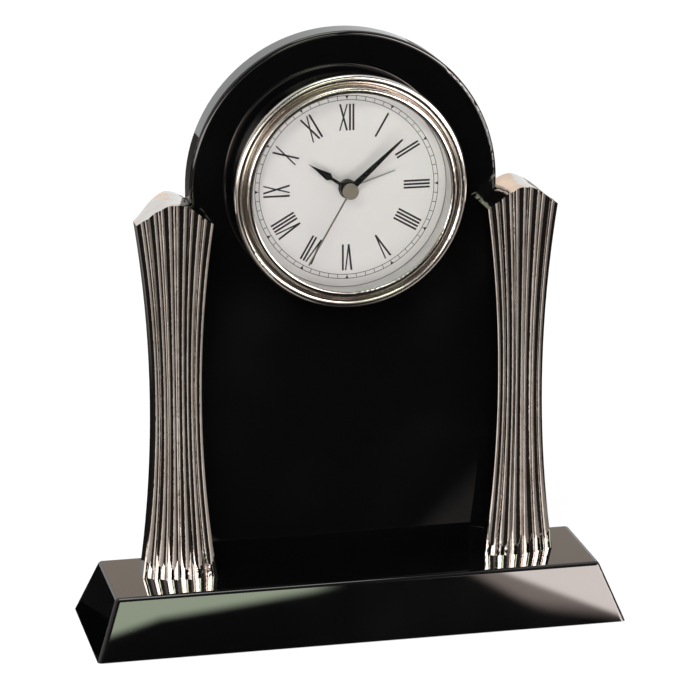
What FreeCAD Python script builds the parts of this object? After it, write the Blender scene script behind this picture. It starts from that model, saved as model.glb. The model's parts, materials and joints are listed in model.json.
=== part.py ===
import FreeCAD, Part
import math
import os
import re
import Sketcher

# Mantel clock: an arched black case between two fluted metal columns on a bevelled plinth,
# with a round alarm clock insert let into the case.
# Millimetres. X is to the right seen from the front, the front looks towards -Y, +Z is up.
# The origin lies on the ground under the middle of the plinth.

DRIVING_SIZES = (
    # plinth
    ("base_length", 167.0),
    ("base_depth", 50.0),
    ("base_slope", 7.0),
    ("base_height", 18.2),
    ("base_edge_round", 1.6),
    ("felt_thickness", 1.0),
    ("felt_stand", 0.4),
    ("felt_inset", 3.0),
    # arched case
    ("panel_width", 96.0),
    ("panel_thickness", 10.0),
    ("panel_front", 5.4),
    ("panel_edge_round", 1.2),
    ("arch_centre_height", 137.8),
    ("dial_centre_height", 138.0),
    ("insert_hole_radius", 31.6),
    # columns
    ("column_offset", 6.2),
    ("column_width", 23.0),
    ("column_waist", 14.7),
    ("column_shoulder_height", 130.6),
    ("column_peak_height", 137.3),
    ("column_bulge", 11.8),
    ("column_waist_recess", 1.6),
    ("column_side_depth", 6.4),
    ("column_back", 13.2),
    ("column_corner_setback", 4.6),
    ("column_inner_setback", 1.6),
    ("flute_depth", 0.95),
    ("column_fit", 0.1),
    # screws from below
    ("screw_radius", 1.9),
    ("screw_clearance", 0.05),
    ("screw_head_radius", 3.4),
    ("screw_head_height", 2.4),
    ("screw_recess_radius", 3.8),
    ("screw_recess_height", 8.0),
    ("screw_bite", 12.0),
    ("panel_screw_spacing", 56.0),
    ("column_screw_depth", 4.0),
    # bezel, glass and dial, measured forwards from the case front
    ("bezel_radius", 36.2),
    ("bezel_foot_radius", 34.5),
    ("bezel_bore_radius", 32.2),
    ("bezel_lip_radius", 30.8),
    ("bezel_stand", 11.4),
    ("bezel_roll_radius", 1.45),
    ("bezel_roll_round", 1.3),
    ("bezel_roll_back_round", 1.2),
    ("bezel_roll_stand", 8.6),
    ("bezel_step_radius", 33.5),
    ("bezel_step_stand", 8.7),
    ("bezel_land_radius", 32.6),
    ("bezel_land_stand", 10.4),
    ("bezel_land_round", 0.8),
    ("bezel_lip_round", 0.5),
    ("lip_thickness", 0.7),
    ("lens_thickness", 1.2),
    ("dial_stand", 3.0),
    ("dial_thickness", 0.5),
    ("insert_clearance", 0.1),
    ("rehaut_wall", 0.8),
    ("flange_radius", 33.8),
    ("flange_thickness", 1.2),
    # movement case
    ("cup_radius", 31.1),
    ("cup_wall", 0.9),
    ("cup_back", 14.4),
    ("front_plate_thickness", 1.6),
    ("rear_cover_thickness", 1.6),
    ("fit_ring_groove", 0.6),
    ("fit_ring_width", 4.0),
    ("fit_ring_setback", 3.0),
    ("bushing_radius", 2.6),
    ("bushing_stand", 0.7),
    # hands
    ("arbor_radius", 0.35),
    ("tube_wall", 0.35),
    ("running_gap", 0.05),
    ("hand_thickness", 0.3),
    ("alarm_hand_stand", 0.9),
    ("hour_hand_stand", 2.1),
    ("minute_hand_stand", 3.6),
    ("second_hand_stand", 5.1),
    ("alarm_hand_length", 15.7),
    ("hour_hand_length", 15.0),
    ("minute_hand_length", 22.5),
    ("second_hand_length", 26.0),
    ("hour_hub_radius", 2.9),
    ("minute_hub_radius", 2.2),
    ("alarm_hub_radius", 2.6),
    ("cap_radius", 2.4),
    ("cap_height", 0.9),
    ("hour_neck_width", 0.95),
    ("hour_leaf_width", 2.5),
    ("hour_nib_width", 0.9),
    ("minute_root_width", 2.0),
    ("minute_belly_width", 1.6),
    ("minute_tip_width", 0.5),
    ("second_hand_width", 0.45),
    ("alarm_hand_width", 0.5),
    ("alarm_tip_width", 0.2),
    ("alarm_hand_angle", 72.0),
    ("hour_hand_angle", 304.0),
    ("minute_hand_angle", 48.0),
    ("second_hand_angle", 210.0),
    # wheel train: layers count from the front plate backwards
    ("layer_pitch", 1.2),
    ("wheel_thickness", 0.8),
    ("first_layer_gap", 0.4),
    ("back_plate_gap", 8.9),
    ("back_plate_thickness", 1.0),
    ("back_plate_radius", 29.4),
    ("back_plate_drop", 6.2),
    ("wheel_arbor_radius", 0.4),
    ("going_distance", 8.75),
    ("drive_distance", 9.0),
    ("rotor_distance", 7.125),
    ("motion_distance", 8.0),
    ("alarm_distance", 10.0),
    ("third_wheel_angle", 120.0),
    ("alarm_shaft_angle", 60.0),
    ("magnet_radius", 2.5),
    ("magnet_gap", 0.2),
    ("magnet_length", 3.0),
    ("stator_width", 6.3),
    ("stator_height", 17.6),
    ("stator_thickness", 0.8),
    ("stator_arm", 1.8),
    ("coil_offset", 7.9),
    ("coil_radius", 2.6),
    ("coil_length", 13.2),
    ("core_width", 1.8),
    ("board_length", 11.0),
    ("board_height", 8.0),
    ("board_thickness", 0.8),
    ("board_side", 8.0),
    ("board_rise", 9.0),
    ("crystal_radius", 1.0),
    ("crystal_length", 6.0),
    ("pillar_radius", 1.5),
    ("post_radius", 1.8),
    ("post_circle_radius", 26.5),
    ("post_angle", 35.0),
    ("cover_screw_radius", 0.9),
    ("cover_screw_head", 1.7),
    ("cover_screw_head_height", 0.8),
    ("cover_screw_length", 7.0),
    ("buzzer_radius", 7.0),
    ("buzzer_thickness", 1.6),
    ("buzzer_side", 15.0),
    # battery
    ("battery_radius", 6.0),
    ("battery_length", 30.2),
    ("battery_nib_radius", 2.1),
    ("battery_nib_length", 0.9),
    ("battery_drop", 16.2),
    ("battery_margin", 0.3),
    ("tray_wall", 0.8),
    ("contact_thickness", 0.5),
    ("contact_width", 8.0),
    ("battery_cover_thickness", 1.2),
    ("battery_cover_overlap", 1.2),
    ("battery_cover_gap", 0.1),
    ("cover_rail_width", 1.2),
    ("grip_ridge", 0.5),
    # knobs and switch at the back
    ("shaft_radius", 1.2),
    ("knob_radius", 3.6),
    ("knob_height", 3.6),
    ("knob_gap", 0.3),
    ("knob_groove_radius", 0.5),
    ("knob_round", 0.4),
    ("switch_length", 4.6),
    ("switch_height", 3.0),
    ("switch_travel", 3.0),
    ("switch_side", 12.0),
    ("switch_rise", 16.0),
    ("switch_stand", 1.2),
    ("cut_overrun", 1.0),
)

SHEET_NAME = "Sizes"
SIZE_WORD = re.compile(r"\b[a-z]+(?:_[a-z]+)+\b")

doc = FreeCAD.newDocument("MantelClock")
sheet = doc.addObject("Spreadsheet::Sheet", SHEET_NAME)
for row, (alias, number) in enumerate(DRIVING_SIZES, start=1):
    sheet.set("A%d" % row, alias)
    sheet.set("B%d" % row, repr(number))
    sheet.setAlias("B%d" % row, alias)
doc.recompute()

ALONG_Y = FreeCAD.Rotation(FreeCAD.Vector(1, 0, 0), -90)
ALONG_X = FreeCAD.Rotation(FreeCAD.Vector(0, 1, 0), 90)
SAME_PLACE = 0.00001
LEFT_AT_MOST_SHARE = 0.999999999
NODES = []


def bound(text):
    """An expression on size names, written for the sheet."""
    return SIZE_WORD.sub(lambda found: SHEET_NAME + "." + found.group(0), text)


def size(text):
    """The present value of an expression on size names."""
    return float(sheet.evalExpression(bound(text)))


def bind(item, **expressions):
    """Ties properties of an object to the sheet; x, y and z are its place."""
    for name, text in expressions.items():
        path = "Placement.Base." + name if name in ("x", "y", "z") else name
        item.setExpression(path, bound(text))
    return item


def node(item, label):
    """Names a finished piece, which is then written out under that name."""
    item.Label = label
    NODES.append(item)
    return item


def box(length, width, height, x="0", y="0", z="0"):
    """A block from its low corner."""
    block = doc.addObject("Part::Box", "Block")
    return bind(block, Length=length, Width=width, Height=height, x=x, y=y, z=z)


def rod(radius, length, x="0", y="0", z="0", turn=ALONG_Y):
    """A round bar that starts at its place and runs along +Y unless turned."""
    bar = doc.addObject("Part::Cylinder", "Rod")
    bar.Placement.Rotation = turn
    return bind(bar, Radius=radius, Height=length, x=x, y=y, z=z)


def fuse(*items):
    joined = doc.addObject("Part::MultiFuse", "Joined")
    joined.Shapes = list(items)
    joined.Refine = True
    return joined


def cut(base, *tools):
    """Takes the tools away from the base."""
    result = doc.addObject("Part::Cut", "Cut")
    result.Base = base
    result.Tool = tools[0] if len(tools) == 1 else fuse(*tools)
    return result


def group(*items):
    """Equal separate pieces kept as one node."""
    compound = doc.addObject("Part::Compound", "Group")
    compound.Links = list(items)
    return compound


def origin_plane(body, role):
    return [item for item in body.Origin.OriginFeatures if item.Role == role][0]


def sketch_on(body, role, name, offset=None):
    """An empty sketch on one of the body's own planes, moved along its normal by offset."""
    sketch = body.newObject("Sketcher::SketchObject", name)
    sketch.AttachmentSupport = [(origin_plane(body, role), "")]
    sketch.MapMode = "FlatFace"
    if offset is not None:
        sketch.setExpression(".AttachmentOffset.Base.z", bound(offset))
    return sketch


def fix_point(sketch, index, end, point):
    """Ties one point of a sketch line to two expressions."""
    for kind, axis, text in (("DistanceX", -2, point[0]), ("DistanceY", -1, point[1])):
        here = size(text)
        if here == 0:
            sketch.addConstraint(Sketcher.Constraint("PointOnObject", index, end, axis))
        else:
            constraint = sketch.addConstraint(Sketcher.Constraint(kind, index, end, here))
            sketch.setExpression("Constraints[%d]" % constraint, bound(text))


def outline(sketch, points):
    """Draws a closed outline of straight lines through points given as expressions."""
    places = [FreeCAD.Vector(size(x), size(y), 0) for x, y in points]
    count = len(points)
    for index in range(count):
        sketch.addGeometry(Part.LineSegment(places[index], places[(index + 1) % count]), False)
    for index in range(count):
        sketch.addConstraint(Sketcher.Constraint("Coincident", index, 2, (index + 1) % count, 1))
    for index in range(count):
        fix_point(sketch, index, 1, points[index])
    return sketch


def circle(sketch, radius, x="0", y="0"):
    """Draws a circle whose radius and centre are expressions."""
    centre = FreeCAD.Vector(size(x), size(y), 0)
    index = sketch.addGeometry(Part.Circle(centre, FreeCAD.Vector(0, 0, 1), size(radius)), False)
    constraint = sketch.addConstraint(Sketcher.Constraint("Radius", index, size(radius)))
    sketch.setExpression("Constraints[%d]" % constraint, bound(radius))
    fix_point(sketch, index, 3, (x, y))
    return sketch


def new_body(label, x="0", y="0", z="0"):
    body = doc.addObject("PartDesign::Body", "Body")
    bind(body, x=x, y=y, z=z)
    return node(body, label)


def turned(label, points, x="0", z="dial_centre_height"):
    """A piece turned about an axis along Y; points are radius and depth."""
    body = new_body(label, x=x, z=z)
    sketch = outline(sketch_on(body, "XY_Plane", "Profile"), points)
    turn = body.newObject("PartDesign::Revolution", "Turned")
    turn.Profile = sketch
    turn.ReferenceAxis = (sketch, ["V_Axis"])
    turn.Angle = 360
    return body


def pad(body, sketch, length, backwards=False):
    """Raises a sketch into a plate."""
    plate = body.newObject("PartDesign::Pad", "Plate")
    plate.Profile = sketch
    plate.Reversed = backwards
    plate.setExpression("Length", bound(length))
    return plate


def pocket(body, sketch, length, backwards=False):
    """Cuts a sketch into the body, and makes sure that it did cut."""
    doc.recompute()
    before = body.Shape.Volume
    hollow = body.newObject("PartDesign::Pocket", "Hollow")
    hollow.Profile = sketch
    hollow.Reversed = backwards
    hollow.setExpression("Length", bound(length))
    doc.recompute()
    if not body.Shape.Volume < before * LEFT_AT_MOST_SHARE:
        raise RuntimeError("a pocket of %s cut nothing" % body.Label)
    return hollow


def round_edges(body, radius, wanted):
    """Rounds those edges of a body that the test picks."""
    doc.recompute()
    last = body.Tip
    names = ["Edge%d" % (index + 1) for index, edge in enumerate(last.Shape.Edges) if wanted(edge)]
    fillet = body.newObject("PartDesign::Fillet", "Rounded")
    fillet.Base = (last, names)
    fillet.setExpression("Radius", bound(radius))
    return fillet


def near(first, second):
    return abs(first - second) < SAME_PLACE


# Depths of the layers, from the front of the clock to its back
DIAL_FACE = "panel_front - dial_stand"
DIAL_BACK = "(panel_front - dial_stand + dial_thickness)"
LENS_FRONT = "(panel_front - bezel_stand + lip_thickness)"
LENS_BACK = "(panel_front - bezel_stand + lip_thickness + lens_thickness)"
INSIDE_FRONT = "(panel_front - dial_stand + dial_thickness + front_plate_thickness)"
CUP_BACK = "(panel_front + cup_back)"
COVER_BACK = "(panel_front + cup_back + rear_cover_thickness)"

# Places of the screws, from above
PANEL_SCREW_Y = "panel_front + panel_thickness / 2"
PANEL_SCREWS = (("-panel_screw_spacing / 2", PANEL_SCREW_Y), ("panel_screw_spacing / 2", PANEL_SCREW_Y))
COLUMN_X = "(panel_width / 2 + column_offset)"
COLUMN_SCREWS = (("-" + COLUMN_X, "column_screw_depth"), (COLUMN_X, "column_screw_depth"))
SCREW_PLACES = PANEL_SCREWS + COLUMN_SCREWS

# Columns: number of flutes, level sections of the loft, and shares of their outlines
FLUTE_COUNT = 6
SECTION_COUNT = 5
BACK_SHOULDER_SHARE = 0.35
OGEE_TURN_SHARES = (0.62, 0.50)
OGEE_END_SHARE = 0.8

# Radii of the nested tubes, and heights of the steps on the movement housing
CANNON_RADIUS = "(arbor_radius + tube_wall + running_gap)"
HOUR_TUBE_RADIUS = "(arbor_radius + 2 * tube_wall + 2 * running_gap)"
ALARM_TUBE_RADIUS = "(arbor_radius + 3 * tube_wall + 3 * running_gap)"
BUSHING_BORE = "(arbor_radius + 3 * tube_wall + 4 * running_gap)"
FLANGE_BACK = "panel_front"
RING_FRONT = "(panel_front + fit_ring_setback)"

# Places about the dial centre: posts, shafts, arbors and pillars
POST_X = "post_circle_radius * cos(post_angle * 1 deg)"
POST_Z = "post_circle_radius * sin(post_angle * 1 deg)"
POST_PLACES = (("-" + POST_X, POST_Z), (POST_X, POST_Z), ("0", "-post_circle_radius"))
TIME_SHAFT = ("2 * motion_distance", "0")
ALARM_SHAFT = (
    "alarm_distance * cos(alarm_shaft_angle * 1 deg)",
    "alarm_distance * sin(alarm_shaft_angle * 1 deg)",
)
THIRD_ARBOR = (
    "going_distance * cos(third_wheel_angle * 1 deg)",
    "going_distance * sin(third_wheel_angle * 1 deg)",
)
DRIVE_ARBOR = ("-drive_distance", "0")
ROTOR_ARBOR = ("-drive_distance - rotor_distance", "0")
MOTION_ARBOR = ("motion_distance", "0")
CENTRE = ("0", "0")
PILLAR_SHARES = ((-0.60, 0.44), (0.81, -0.14), (0.05, 0.78))
BACK_PLATE_FRONT = "(%s + back_plate_gap)" % INSIDE_FRONT

# Half sizes of the battery well
TRAY_HALF_LENGTH = "(battery_length / 2 + contact_thickness + tray_wall)"
TRAY_HALF_HEIGHT = "(battery_radius + battery_margin + tray_wall)"

# Teeth of each mesh, wheel first, and the shape of a tooth as shares of the module and of the pitch
THIRD_TEETH, SECOND_LEAVES = 45, 6
CENTRE_TEETH, THIRD_LEAVES = 48, 6
SECOND_TEETH, DRIVE_LEAVES = 48, 6
DRIVE_TEETH, ROTOR_LEAVES = 30, 8
MOTION_TEETH, CANNON_LEAVES = 24, 8
HOUR_TEETH, MOTION_LEAVES = 24, 6
TIME_KNOB_LEAVES = 8
ALARM_TEETH, ALARM_KNOB_LEAVES = 28, 12
ADDENDUM_SHARE = 0.62
DEDENDUM_SHARE = 0.95
TIP_SHARE = 0.16
ROOT_SHARE = 0.50

# Turns of wheels, as shares of one tooth, that put teeth into the gaps of their neighbours
HALF_TOOTH_SHARE = 0.5
THIRD_WHEEL_SHARE = -0.25
ALARM_WHEEL_SHARE = -0.175

# Outline of the hour hand's leaf, and ribs for grip
HOUR_SHARES = (0.42, 0.49, 0.76)
MINUTE_BELLY_SHARE = 0.42
GRIP_COUNT = 12
GRIP_RIDGES = 4


def base_block():
    """The plinth: four sloping faces, rounded edges and a recess for the felt below."""
    body = new_body("base_block")
    foot = outline(sketch_on(body, "XY_Plane", "Foot", "felt_stand"), (
        ("-base_length / 2", "-base_depth / 2"),
        ("base_length / 2", "-base_depth / 2"),
        ("base_length / 2", "base_depth / 2"),
        ("-base_length / 2", "base_depth / 2"),
    ))
    block = pad(body, foot, "base_height - felt_stand")
    block.setExpression("TaperAngle", bound("-atan(base_slope / (base_height - felt_stand))"))
    bottom = size("felt_stand")
    round_edges(body, "base_edge_round", lambda edge: edge.BoundBox.ZMax > bottom + size("felt_thickness"))
    recess = sketch_on(body, "XY_Plane", "FeltRecess", "felt_stand")
    outline(recess, (
        ("-base_length / 2 + felt_inset", "-base_depth / 2 + felt_inset"),
        ("base_length / 2 - felt_inset", "-base_depth / 2 + felt_inset"),
        ("base_length / 2 - felt_inset", "base_depth / 2 - felt_inset"),
        ("-base_length / 2 + felt_inset", "base_depth / 2 - felt_inset"),
    ))
    pocket(body, recess, "felt_thickness - felt_stand", backwards=True)
    heads = sketch_on(body, "XY_Plane", "HeadRecesses", "felt_stand")
    shanks = sketch_on(body, "XY_Plane", "ShankHoles", "felt_stand")
    for place_x, place_y in SCREW_PLACES:
        circle(heads, "screw_recess_radius", place_x, place_y)
        circle(shanks, "screw_radius + screw_clearance", place_x, place_y)
    pocket(body, heads, "screw_recess_height - felt_stand", backwards=True)
    pocket(body, shanks, "base_height - felt_stand + cut_overrun", backwards=True)


def felt_pad():
    body = new_body("felt_pad")
    half_length = "(base_length / 2 - felt_inset - insert_clearance)"
    half_depth = "(base_depth / 2 - felt_inset - insert_clearance)"
    sketch = outline(sketch_on(body, "XY_Plane", "Outline"), (
        ("-" + half_length, "-" + half_depth),
        (half_length, "-" + half_depth),
        (half_length, half_depth),
        ("-" + half_length, half_depth),
    ))
    pad(body, sketch, "felt_thickness")


def case_panel():
    """The arched case: straight sides, a half round head and a hole for the insert."""
    body = new_body("case_panel", y="panel_front")
    sketch = sketch_on(body, "XZ_Plane", "Arch")
    half = size("panel_width / 2")
    foot = size("base_height")
    spring = size("arch_centre_height")
    corners = [FreeCAD.Vector(-half, spring, 0), FreeCAD.Vector(-half, foot, 0)]
    corners += [FreeCAD.Vector(half, foot, 0), FreeCAD.Vector(half, spring, 0)]
    for index in range(3):
        sketch.addGeometry(Part.LineSegment(corners[index], corners[index + 1]), False)
    centre = FreeCAD.Vector(0, spring, 0)
    head = Part.ArcOfCircle(Part.Circle(centre, FreeCAD.Vector(0, 0, 1), half), 0, math.pi)
    arc = sketch.addGeometry(head, False)
    sketch.addConstraint(Sketcher.Constraint("Coincident", 0, 2, 1, 1))
    sketch.addConstraint(Sketcher.Constraint("Coincident", 1, 2, 2, 1))
    sketch.addConstraint(Sketcher.Constraint("Tangent", 2, 2, arc, 1))
    sketch.addConstraint(Sketcher.Constraint("Tangent", arc, 2, 0, 1))
    fix_point(sketch, 0, 2, ("-panel_width / 2", "base_height"))
    fix_point(sketch, 1, 2, ("panel_width / 2", "base_height"))
    fix_point(sketch, arc, 3, ("0", "arch_centre_height"))
    pad(body, sketch, "panel_thickness", backwards=True)
    thick = size("panel_thickness")

    def outer(edge):
        bounds = edge.BoundBox
        flat = near(bounds.YMin, bounds.YMax) and (near(bounds.YMin, 0) or near(bounds.YMin, thick))
        return flat and bounds.ZMax > foot + thick

    round_edges(body, "panel_edge_round", outer)
    hole = circle(sketch_on(body, "XZ_Plane", "InsertHole"), "insert_hole_radius", "0", "dial_centre_height")
    pocket(body, hole, "panel_thickness + cut_overrun")
    screws = sketch_on(body, "XY_Plane", "ScrewHoles", "base_height")
    for place_x, _ in PANEL_SCREWS:
        circle(screws, "screw_radius + screw_clearance", place_x, "panel_thickness / 2")
    pocket(body, screws, "screw_bite + cut_overrun", backwards=True)


def column_section(height):
    """One level section of the left column: a front of hollow flutes on a curved face, and a plain back.

    The front follows a curve from the outer corner on the left over the crown to the inner corner.
    """
    low = size("base_height")
    high = size("column_shoulder_height")
    run = (height - (low + high) / 2) / ((high - low) / 2)
    half = size("column_waist") / 2 + (size("column_width") - size("column_waist")) / 2 * run * run
    spread = half / (size("column_width") / 2)
    crown = size("panel_front - column_bulge") + size("column_waist_recess") * (1 - run * run)
    inner_y = crown + size("column_inner_setback") * spread
    outer_y = crown + size("column_corner_setback") * spread
    ends = (FreeCAD.Vector(half, inner_y, 0), FreeCAD.Vector(-half, outer_y, 0))
    face = Part.Arc(ends[0], FreeCAD.Vector(0, crown, 0), ends[1])
    first, last = face.FirstParameter, face.LastParameter
    arrises = [face.value(first + (last - first) * index / FLUTE_COUNT) for index in range(FLUTE_COUNT + 1)]
    centre = face.toShape().Curve.Center
    edges = []
    for start, end in zip(arrises, arrises[1:]):
        middle = (start + end) / 2
        inwards = (centre - middle).normalize()
        edges.append(Part.Arc(start, middle + inwards * size("flute_depth") * spread, end).toShape())
    gap = size("column_fit")
    rebate = size("column_offset") - gap
    panel_face = size("panel_front") - gap
    side_back = outer_y + size("column_side_depth")
    back = size("column_back")
    corners = [ends[1], FreeCAD.Vector(-half, side_back, 0)]
    if rebate < half:
        tail = [FreeCAD.Vector(rebate, back, 0), FreeCAD.Vector(rebate, panel_face, 0)]
    else:
        tail = [FreeCAD.Vector(half, back, 0), FreeCAD.Vector(half, back - gap, 0)]
    tail.append(FreeCAD.Vector(half, panel_face, 0))
    shoulder = FreeCAD.Vector(tail[0].x - (half + tail[0].x) * BACK_SHOULDER_SHARE, back, 0)
    corners += [shoulder] + tail + [ends[0]]
    for start, end in zip(corners, corners[1:]):
        edges.append(Part.LineSegment(start, end).toShape())
    wire = Part.Wire(edges)
    wire.translate(FreeCAD.Vector(0, 0, height))
    return wire


def column_top_tool():
    """The space over the column's head: level front to back, with an ogee outline from the front."""
    half = size("column_width / 2")
    low = size("column_shoulder_height")
    high = size("column_peak_height")
    turn_x = half * OGEE_TURN_SHARES[0]
    turn_z = low + (high - low) * OGEE_TURN_SHARES[1]
    roof = high + size("column_width")
    points = [FreeCAD.Vector(x, 0, z) for x, z in (
        (-half, low), (-turn_x, turn_z), (0, high), (turn_x, turn_z), (half, low),
    )]
    curve = Part.BSplineCurve()
    rise = (high - low) * OGEE_END_SHARE
    curve.interpolate(
        points,
        InitialTangent=FreeCAD.Vector(half, 0, rise),
        FinalTangent=FreeCAD.Vector(half, 0, -rise),
    )
    wide = size("column_width")
    corners = [points[-1], FreeCAD.Vector(wide, 0, low), FreeCAD.Vector(wide, 0, roof)]
    corners += [FreeCAD.Vector(-wide, 0, roof), FreeCAD.Vector(-wide, 0, low), points[0]]
    lines = [Part.LineSegment(start, end).toShape() for start, end in zip(corners, corners[1:])]
    face = Part.Face(Part.Wire([curve.toShape()] + lines))
    reach = size("column_width") * 2
    face.translate(FreeCAD.Vector(0, -reach, 0))
    return face.extrude(FreeCAD.Vector(0, 2 * reach, 0))


def column(label, side):
    """A cast column, narrow at its waist and wider at its foot and head."""
    low = size("base_height")
    high = size("column_peak_height")
    heights = [low + (high - low) * index / (SECTION_COUNT - 1) for index in range(SECTION_COUNT)]
    body = Part.makeLoft([column_section(height) for height in heights], True, False)
    body = body.cut(column_top_tool())
    bite = size("screw_bite") + size("cut_overrun")
    hole = Part.makeCylinder(
        size("screw_radius + screw_clearance"),
        bite,
        FreeCAD.Vector(0, size("column_screw_depth"), low),
    )
    body = body.cut(hole)
    if side > 0:
        body = body.mirror(FreeCAD.Vector(0, 0, 0), FreeCAD.Vector(1, 0, 0))
    piece = doc.addObject("Part::Feature", "Column")
    piece.Shape = body
    bind(piece, x=("-" if side < 0 else "") + COLUMN_X)
    return node(piece, label)


def screws(label, places):
    """Screws that hold a piece on the plinth from below, with flat heads in deep recesses."""
    pieces = []
    for place_x, place_y in places:
        head = rod(
            "screw_head_radius", "screw_head_height", place_x, place_y,
            "screw_recess_height - screw_head_height", FreeCAD.Rotation())
        shank = rod(
            "screw_radius", "base_height - screw_recess_height + screw_bite", place_x, place_y,
            "screw_recess_height", FreeCAD.Rotation())
        pieces.append(fuse(head, shank))
    return node(group(*pieces), label)


def bezel():
    """A polished ring: a half-round outer moulding, a step, and a lip that holds the glass."""
    roll_front = "(panel_front - bezel_roll_stand - bezel_roll_radius)"
    roll_back = "(panel_front - bezel_roll_stand + bezel_roll_radius)"
    points = (
        ("bezel_bore_radius", "panel_front - flange_thickness - insert_clearance"),
        ("flange_radius + insert_clearance", "panel_front - flange_thickness - insert_clearance"),
        ("flange_radius + insert_clearance", "panel_front"),
        ("bezel_foot_radius", "panel_front"),
        ("bezel_foot_radius", roll_back),
        ("bezel_radius", roll_back),
        ("bezel_radius", roll_front),
        ("bezel_step_radius", roll_front),
        ("bezel_step_radius", "panel_front - bezel_step_stand"),
        ("bezel_land_radius", "panel_front - bezel_land_stand"),
        ("bezel_land_radius", "panel_front - bezel_stand"),
        ("bezel_lip_radius", "panel_front - bezel_stand"),
        ("bezel_lip_radius", LENS_FRONT),
        ("bezel_bore_radius", LENS_FRONT),
    )
    body = turned("bezel", points)

    def round_at(radius, depth):
        here = (size(radius), size(depth))

        def wanted(edge):
            bounds = edge.BoundBox
            flat = near(bounds.YMin, bounds.YMax)
            return flat and near(bounds.YMin, here[1]) and near(bounds.XMax, here[0])

        return wanted

    round_edges(body, "bezel_roll_round", round_at("bezel_radius", roll_front))
    round_edges(body, "bezel_roll_round", round_at("bezel_step_radius", roll_front))
    round_edges(body, "bezel_roll_back_round", round_at("bezel_radius", roll_back))
    round_edges(body, "bezel_land_round", round_at("bezel_land_radius", "panel_front - bezel_stand"))
    round_edges(body, "bezel_lip_round", round_at("bezel_lip_radius", "panel_front - bezel_stand"))


def insert_front():
    """Glass, inner wall ring and dial."""
    seat = "(bezel_bore_radius - insert_clearance)"
    turned("lens", (
        ("0", LENS_FRONT), (seat, LENS_FRONT), (seat, LENS_BACK), ("0", LENS_BACK),
    ))
    turned("rehaut_ring", (
        (seat + " - rehaut_wall", LENS_BACK), (seat, LENS_BACK),
        (seat, DIAL_FACE), (seat + " - rehaut_wall", DIAL_FACE),
    ))
    hole = "(bushing_radius + insert_clearance)"
    turned("dial", ((hole, DIAL_FACE), (seat, DIAL_FACE), (seat, DIAL_BACK), (hole, DIAL_BACK)))


def movement_housing():
    """The cup that holds the movement, with a flange on the case and posts for the rear cover."""
    body = turned("movement_housing", (
        (BUSHING_BORE, DIAL_FACE + " - bushing_stand + dial_thickness"),
        ("bushing_radius", DIAL_FACE + " - bushing_stand + dial_thickness"),
        ("bushing_radius", DIAL_BACK),
        ("bezel_bore_radius - insert_clearance", DIAL_BACK),
        ("bezel_bore_radius - insert_clearance", "panel_front - flange_thickness"),
        ("flange_radius", "panel_front - flange_thickness"),
        ("flange_radius", FLANGE_BACK),
        ("cup_radius", FLANGE_BACK),
        ("cup_radius", RING_FRONT),
        ("cup_radius - fit_ring_groove", RING_FRONT),
        ("cup_radius - fit_ring_groove", RING_FRONT + " + fit_ring_width"),
        ("cup_radius", RING_FRONT + " + fit_ring_width"),
        ("cup_radius", CUP_BACK),
        ("cup_radius - cup_wall - fit_ring_groove", CUP_BACK),
        ("cup_radius - cup_wall - fit_ring_groove", INSIDE_FRONT),
        (BUSHING_BORE, INSIDE_FRONT),
    ))
    posts = sketch_on(body, "XZ_Plane", "Posts", "-" + INSIDE_FRONT)
    for x, z in POST_PLACES:
        circle(posts, "post_radius", x, z)
    pad(body, posts, CUP_BACK + " - " + INSIDE_FRONT, backwards=True)
    doc.recompute()
    holes = sketch_on(body, "XZ_Plane", "PostHoles", "-" + CUP_BACK)
    for x, z in POST_PLACES:
        circle(holes, "cover_screw_radius + running_gap", x, z)
    pocket(body, holes, "cover_screw_length", backwards=True)


def fit_ring():
    turned("rubber_fit_ring", (
        ("cup_radius - fit_ring_groove", RING_FRONT + " + running_gap"),
        ("insert_hole_radius - running_gap", RING_FRONT + " + running_gap"),
        ("insert_hole_radius - running_gap", RING_FRONT + " + fit_ring_width - running_gap"),
        ("cup_radius - fit_ring_groove", RING_FRONT + " + fit_ring_width - running_gap"),
    ))


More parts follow.
